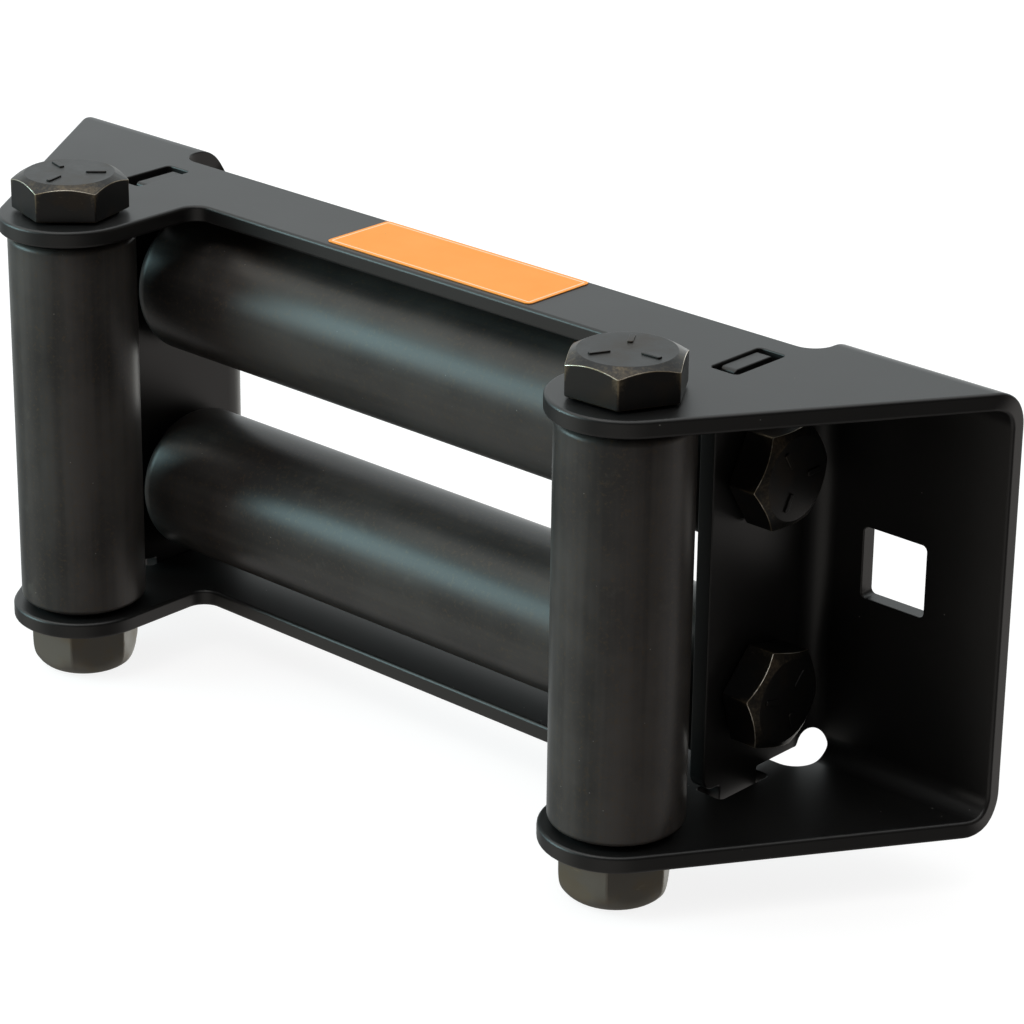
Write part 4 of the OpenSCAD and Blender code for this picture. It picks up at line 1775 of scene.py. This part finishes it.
@dataclass
class Studio:
    """The floor, the light and the camera."""

    # Floor: its gap below the object in millimetres and its half width in metres
    floor_gap: float = 0.3
    floor_half: float = 14.0
    # Camera: its place in millimetres, where it looks in degrees, and its lens
    eye: tuple[float, float, float] = (610.88, -669.72, 352.76)
    azimuth: float = 42.43
    elevation: float = 22.48
    roll: float = 0.70
    lens: float = 130.44
    sensor_w: float = 36.0
    far_clip: float = 60.0
    # Light
    dark: Colour = (0.055, 0.052, 0.050)
    glows: tuple[Glow, ...] = (
        Glow(-136, 24, 30, 68, 0.92, (0.94, 1.0, 1.01)),
        Glow(0, 88, 15, 50, 1.5, (1.0, 1.0, 0.99)),
        Glow(0, -90, 40, 72, 0.24, (1.0, 0.97, 0.93)),
        Glow(-82, -32, 18, 50, 0.09, (0.98, 1.0, 1.0)),
        Glow(-44, -22, 8, 32, 0.52, (1.0, 0.94, 0.85)),
        Glow(-164, -18, 8, 32, 1.00, (1.0, 0.98, 0.92)),
        Glow(30, -24, 8, 40, 0.36, (1.0, 0.95, 0.88)),
        Glow(140, -20, 8, 34, 0.70, (1.0, 0.95, 0.91)),
    )
    lamps: tuple[SoftBox, ...] = (
        SoftBox("window_light", -48, 17, 1.3, (0.70, 0.50), 9.0, (0.66, 1.0, 1.05)),
        SoftBox("front_strip", -28, 8, 1.4, (0.3, 0.45), 3.6, (1.0, 0.96, 0.90)),
        SoftBox("warm_fill", -54, 42, 1.3, (0.6, 0.35), 2.4, (1.0, 0.95, 0.84)),
        SoftBox("top_front", -5, 58, 1.3, (0.5, 0.3), 3.0, (1.0, 0.98, 0.95)),
        SoftBox("warm_side", 112, 14, 1.4, (0.35, 0.5), 0.5, (1.0, 0.80, 0.60)),
    )

    def build(self, bounds: tuple[Vector, Vector]) -> None:
        """Sets up the studio.

        Args:
            bounds: The object's box in metres.
        """
        self.floor(bounds[0].z - self.floor_gap * MM)
        self.surroundings()
        for lamp in self.lamps:
            self.lamp(lamp)
        self.camera()
        view = bpy.context.scene.view_settings
        view.view_transform = "Standard"
        view.look = "None"

    def floor(self, height: float) -> None:
        """Lays the floor.

        Args:
            height: Its height in metres.
        """
        half = self.floor_half
        mesh = bpy.data.meshes.new("studio_floor")
        corners = [(-half, -half, height), (half, -half, height), (half, half, height), (-half, half, height)]
        mesh.from_pydata(corners, [], [(0, 1, 2, 3)])
        paint = FloorPaint("pale_floor").material()
        paint.cycles.emission_sampling = "NONE"
        mesh.materials.append(paint)
        made = bpy.data.objects.new("studio_floor", mesh)
        bpy.context.scene.collection.objects.link(made)
        made.visible_glossy = False
        made.visible_diffuse = False
        made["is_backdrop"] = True

    def surroundings(self) -> None:
        """Paints the soft light around the object."""
        world = bpy.data.worlds.new("studio")
        world.use_nodes = True
        bpy.context.scene.world = world
        bench = Bench(world.node_tree)
        way = bench.node("ShaderNodeTexCoord", output="Generated")
        light: Value = self.dark
        for glow in self.glows:
            low, high = math.cos(math.radians(glow.outer)), math.cos(math.radians(glow.inner))
            patch = bench.step(bench.dot(way, glow.way()), low, high) * glow.strength
            light = bench.vector("ADD", light, bench.scaled(glow.tint, patch))
        seen = bench.node("ShaderNodeLightPath", output="Is Camera Ray")
        shown = bench.mix(seen, light, (1.0, 1.0, 1.0))
        background = bench.node("ShaderNodeBackground", None, {"Color": shown, "Strength": 1.0})
        bench.node("ShaderNodeOutputWorld", None, {"Surface": background})

    @staticmethod
    def lamp(lamp: SoftBox) -> None:
        """Hangs one lamp.

        Args:
            lamp: The lamp.
        """
        light = bpy.data.lights.new(lamp.name, "AREA")
        light.shape = "RECTANGLE"
        light.size, light.size_y = lamp.size
        light.energy = lamp.radiance * math.pi * lamp.size[0] * lamp.size[1]
        light.color = lamp.tint
        made = bpy.data.objects.new(lamp.name, light)
        way = Vector(bearing(lamp.azimuth, lamp.elevation))
        made.location = way * lamp.distance
        made.rotation_euler = (-way).to_track_quat("-Z", "Y").to_euler()
        made.visible_camera = False
        bpy.context.scene.collection.objects.link(made)

    def camera(self) -> None:
        """Sets the camera up where the photograph was taken."""
        turn, roll = math.radians(self.azimuth), math.radians(self.roll)
        right = Vector((math.cos(turn), math.sin(turn), 0))
        back = Vector(bearing(self.azimuth, self.elevation))
        up = back.cross(right)
        across = math.cos(roll) * right + math.sin(roll) * up
        upright = math.cos(roll) * up - math.sin(roll) * right
        place = Matrix((across, upright, back)).transposed().to_4x4()
        place.translation = Vector(self.eye) * MM
        data = bpy.data.cameras.new("photo_camera")
        data.sensor_width = self.sensor_w
        data.lens = self.lens
        data.clip_end = self.far_clip
        made = bpy.data.objects.new("photo_camera", data)
        made.matrix_world = place
        bpy.context.scene.collection.objects.link(made)
        bpy.context.scene.camera = made


@dataclass
class Fairlead:
    """The whole fairlead, with the finishes of its pieces."""

    bracket_coat: Finish = PowderCoat("satin_bracket_coat")
    upright_coat: Finish = RollerCoat(
        "upright_roller_coat",
        dark=(0.030, 0.0285, 0.0277),
        pale=(0.064, 0.0595, 0.056),
        rough=0.36,
        sheen=0.28,
        dust_share=0.34,
    )
    level_coat: Finish = RollerCoat(
        "level_roller_coat",
        dark=(0.028, 0.0266, 0.026),
        pale=(0.050, 0.0465, 0.044),
        rough=0.36,
        sheen=0.28,
        dust_share=0.24,
        along=(1.0, 0.0, 0.0),
    )
    bolt_steel: Finish = BlackOxide("black_oxide_steel")
    nut_steel: Finish = BlackOxide(
        "phosphated_steel",
        dark=(0.160, 0.153, 0.135),
        brown=(0.175, 0.152, 0.112),
        bronze=(0.23, 0.21, 0.165),
        rough=0.48,
        stain=0.8,
    )
    bush_plastic: Finish = Nylon("black_nylon")
    ring_plastic: Finish = Nylon("white_nylon", (0.62, 0.61, 0.58))
    # The level rollers' round ends
    level_round_r: float = 5.0
    # How the heads and the upright nuts are turned, in degrees
    head_turns: tuple[float, ...] = (44.0, 3.5, 92.0, 136.0)
    upright_nut_turn: float = -3.5
    # Widths of a head and its nut across the flats
    upright_widths: tuple[float, float] = (26.6, 25.6)
    level_widths: tuple[float, float] = (24.0, 24.0)

    def build(self) -> list[bpy.types.Object]:
        """Makes every piece.

        Returns:
            The pieces.
        """
        made = [Bracket().build(self.bracket_coat)]
        for axle in Axle:
            roller = Roller(axle) if axle.stands else Roller(axle, round_r=self.level_round_r)
            made += roller.build(self.upright_coat if axle.stands else self.level_coat, self.bush_plastic)
        for axle, turn in zip(Axle, self.head_turns):
            if axle.stands:
                bolt_set = BoltSet(axle, turn, self.upright_nut_turn, *self.upright_widths)
            else:
                bolt_set = BoltSet(axle, turn, 0.0, *self.level_widths)
            made += bolt_set.build(self.bolt_steel, self.nut_steel, self.ring_plastic)
        made.append(BlankLabel().build())
        return made


def corners(bounds: tuple[Vector, Vector]) -> list[list[float]]:
    """Writes a box as plain lists."""
    return [[float(part) for part in corner] for corner in bounds]


def main() -> None:
    """Builds the fairlead and its studio."""
    logging.basicConfig(level=logging.INFO, format="%(name)s: %(message)s")
    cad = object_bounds()
    for piece in Fairlead().build():
        log.info("%s: %d vertices", piece.name, len(piece.data.vertices))
    Studio().build(cad)


if __name__ == "__main__":
    main()
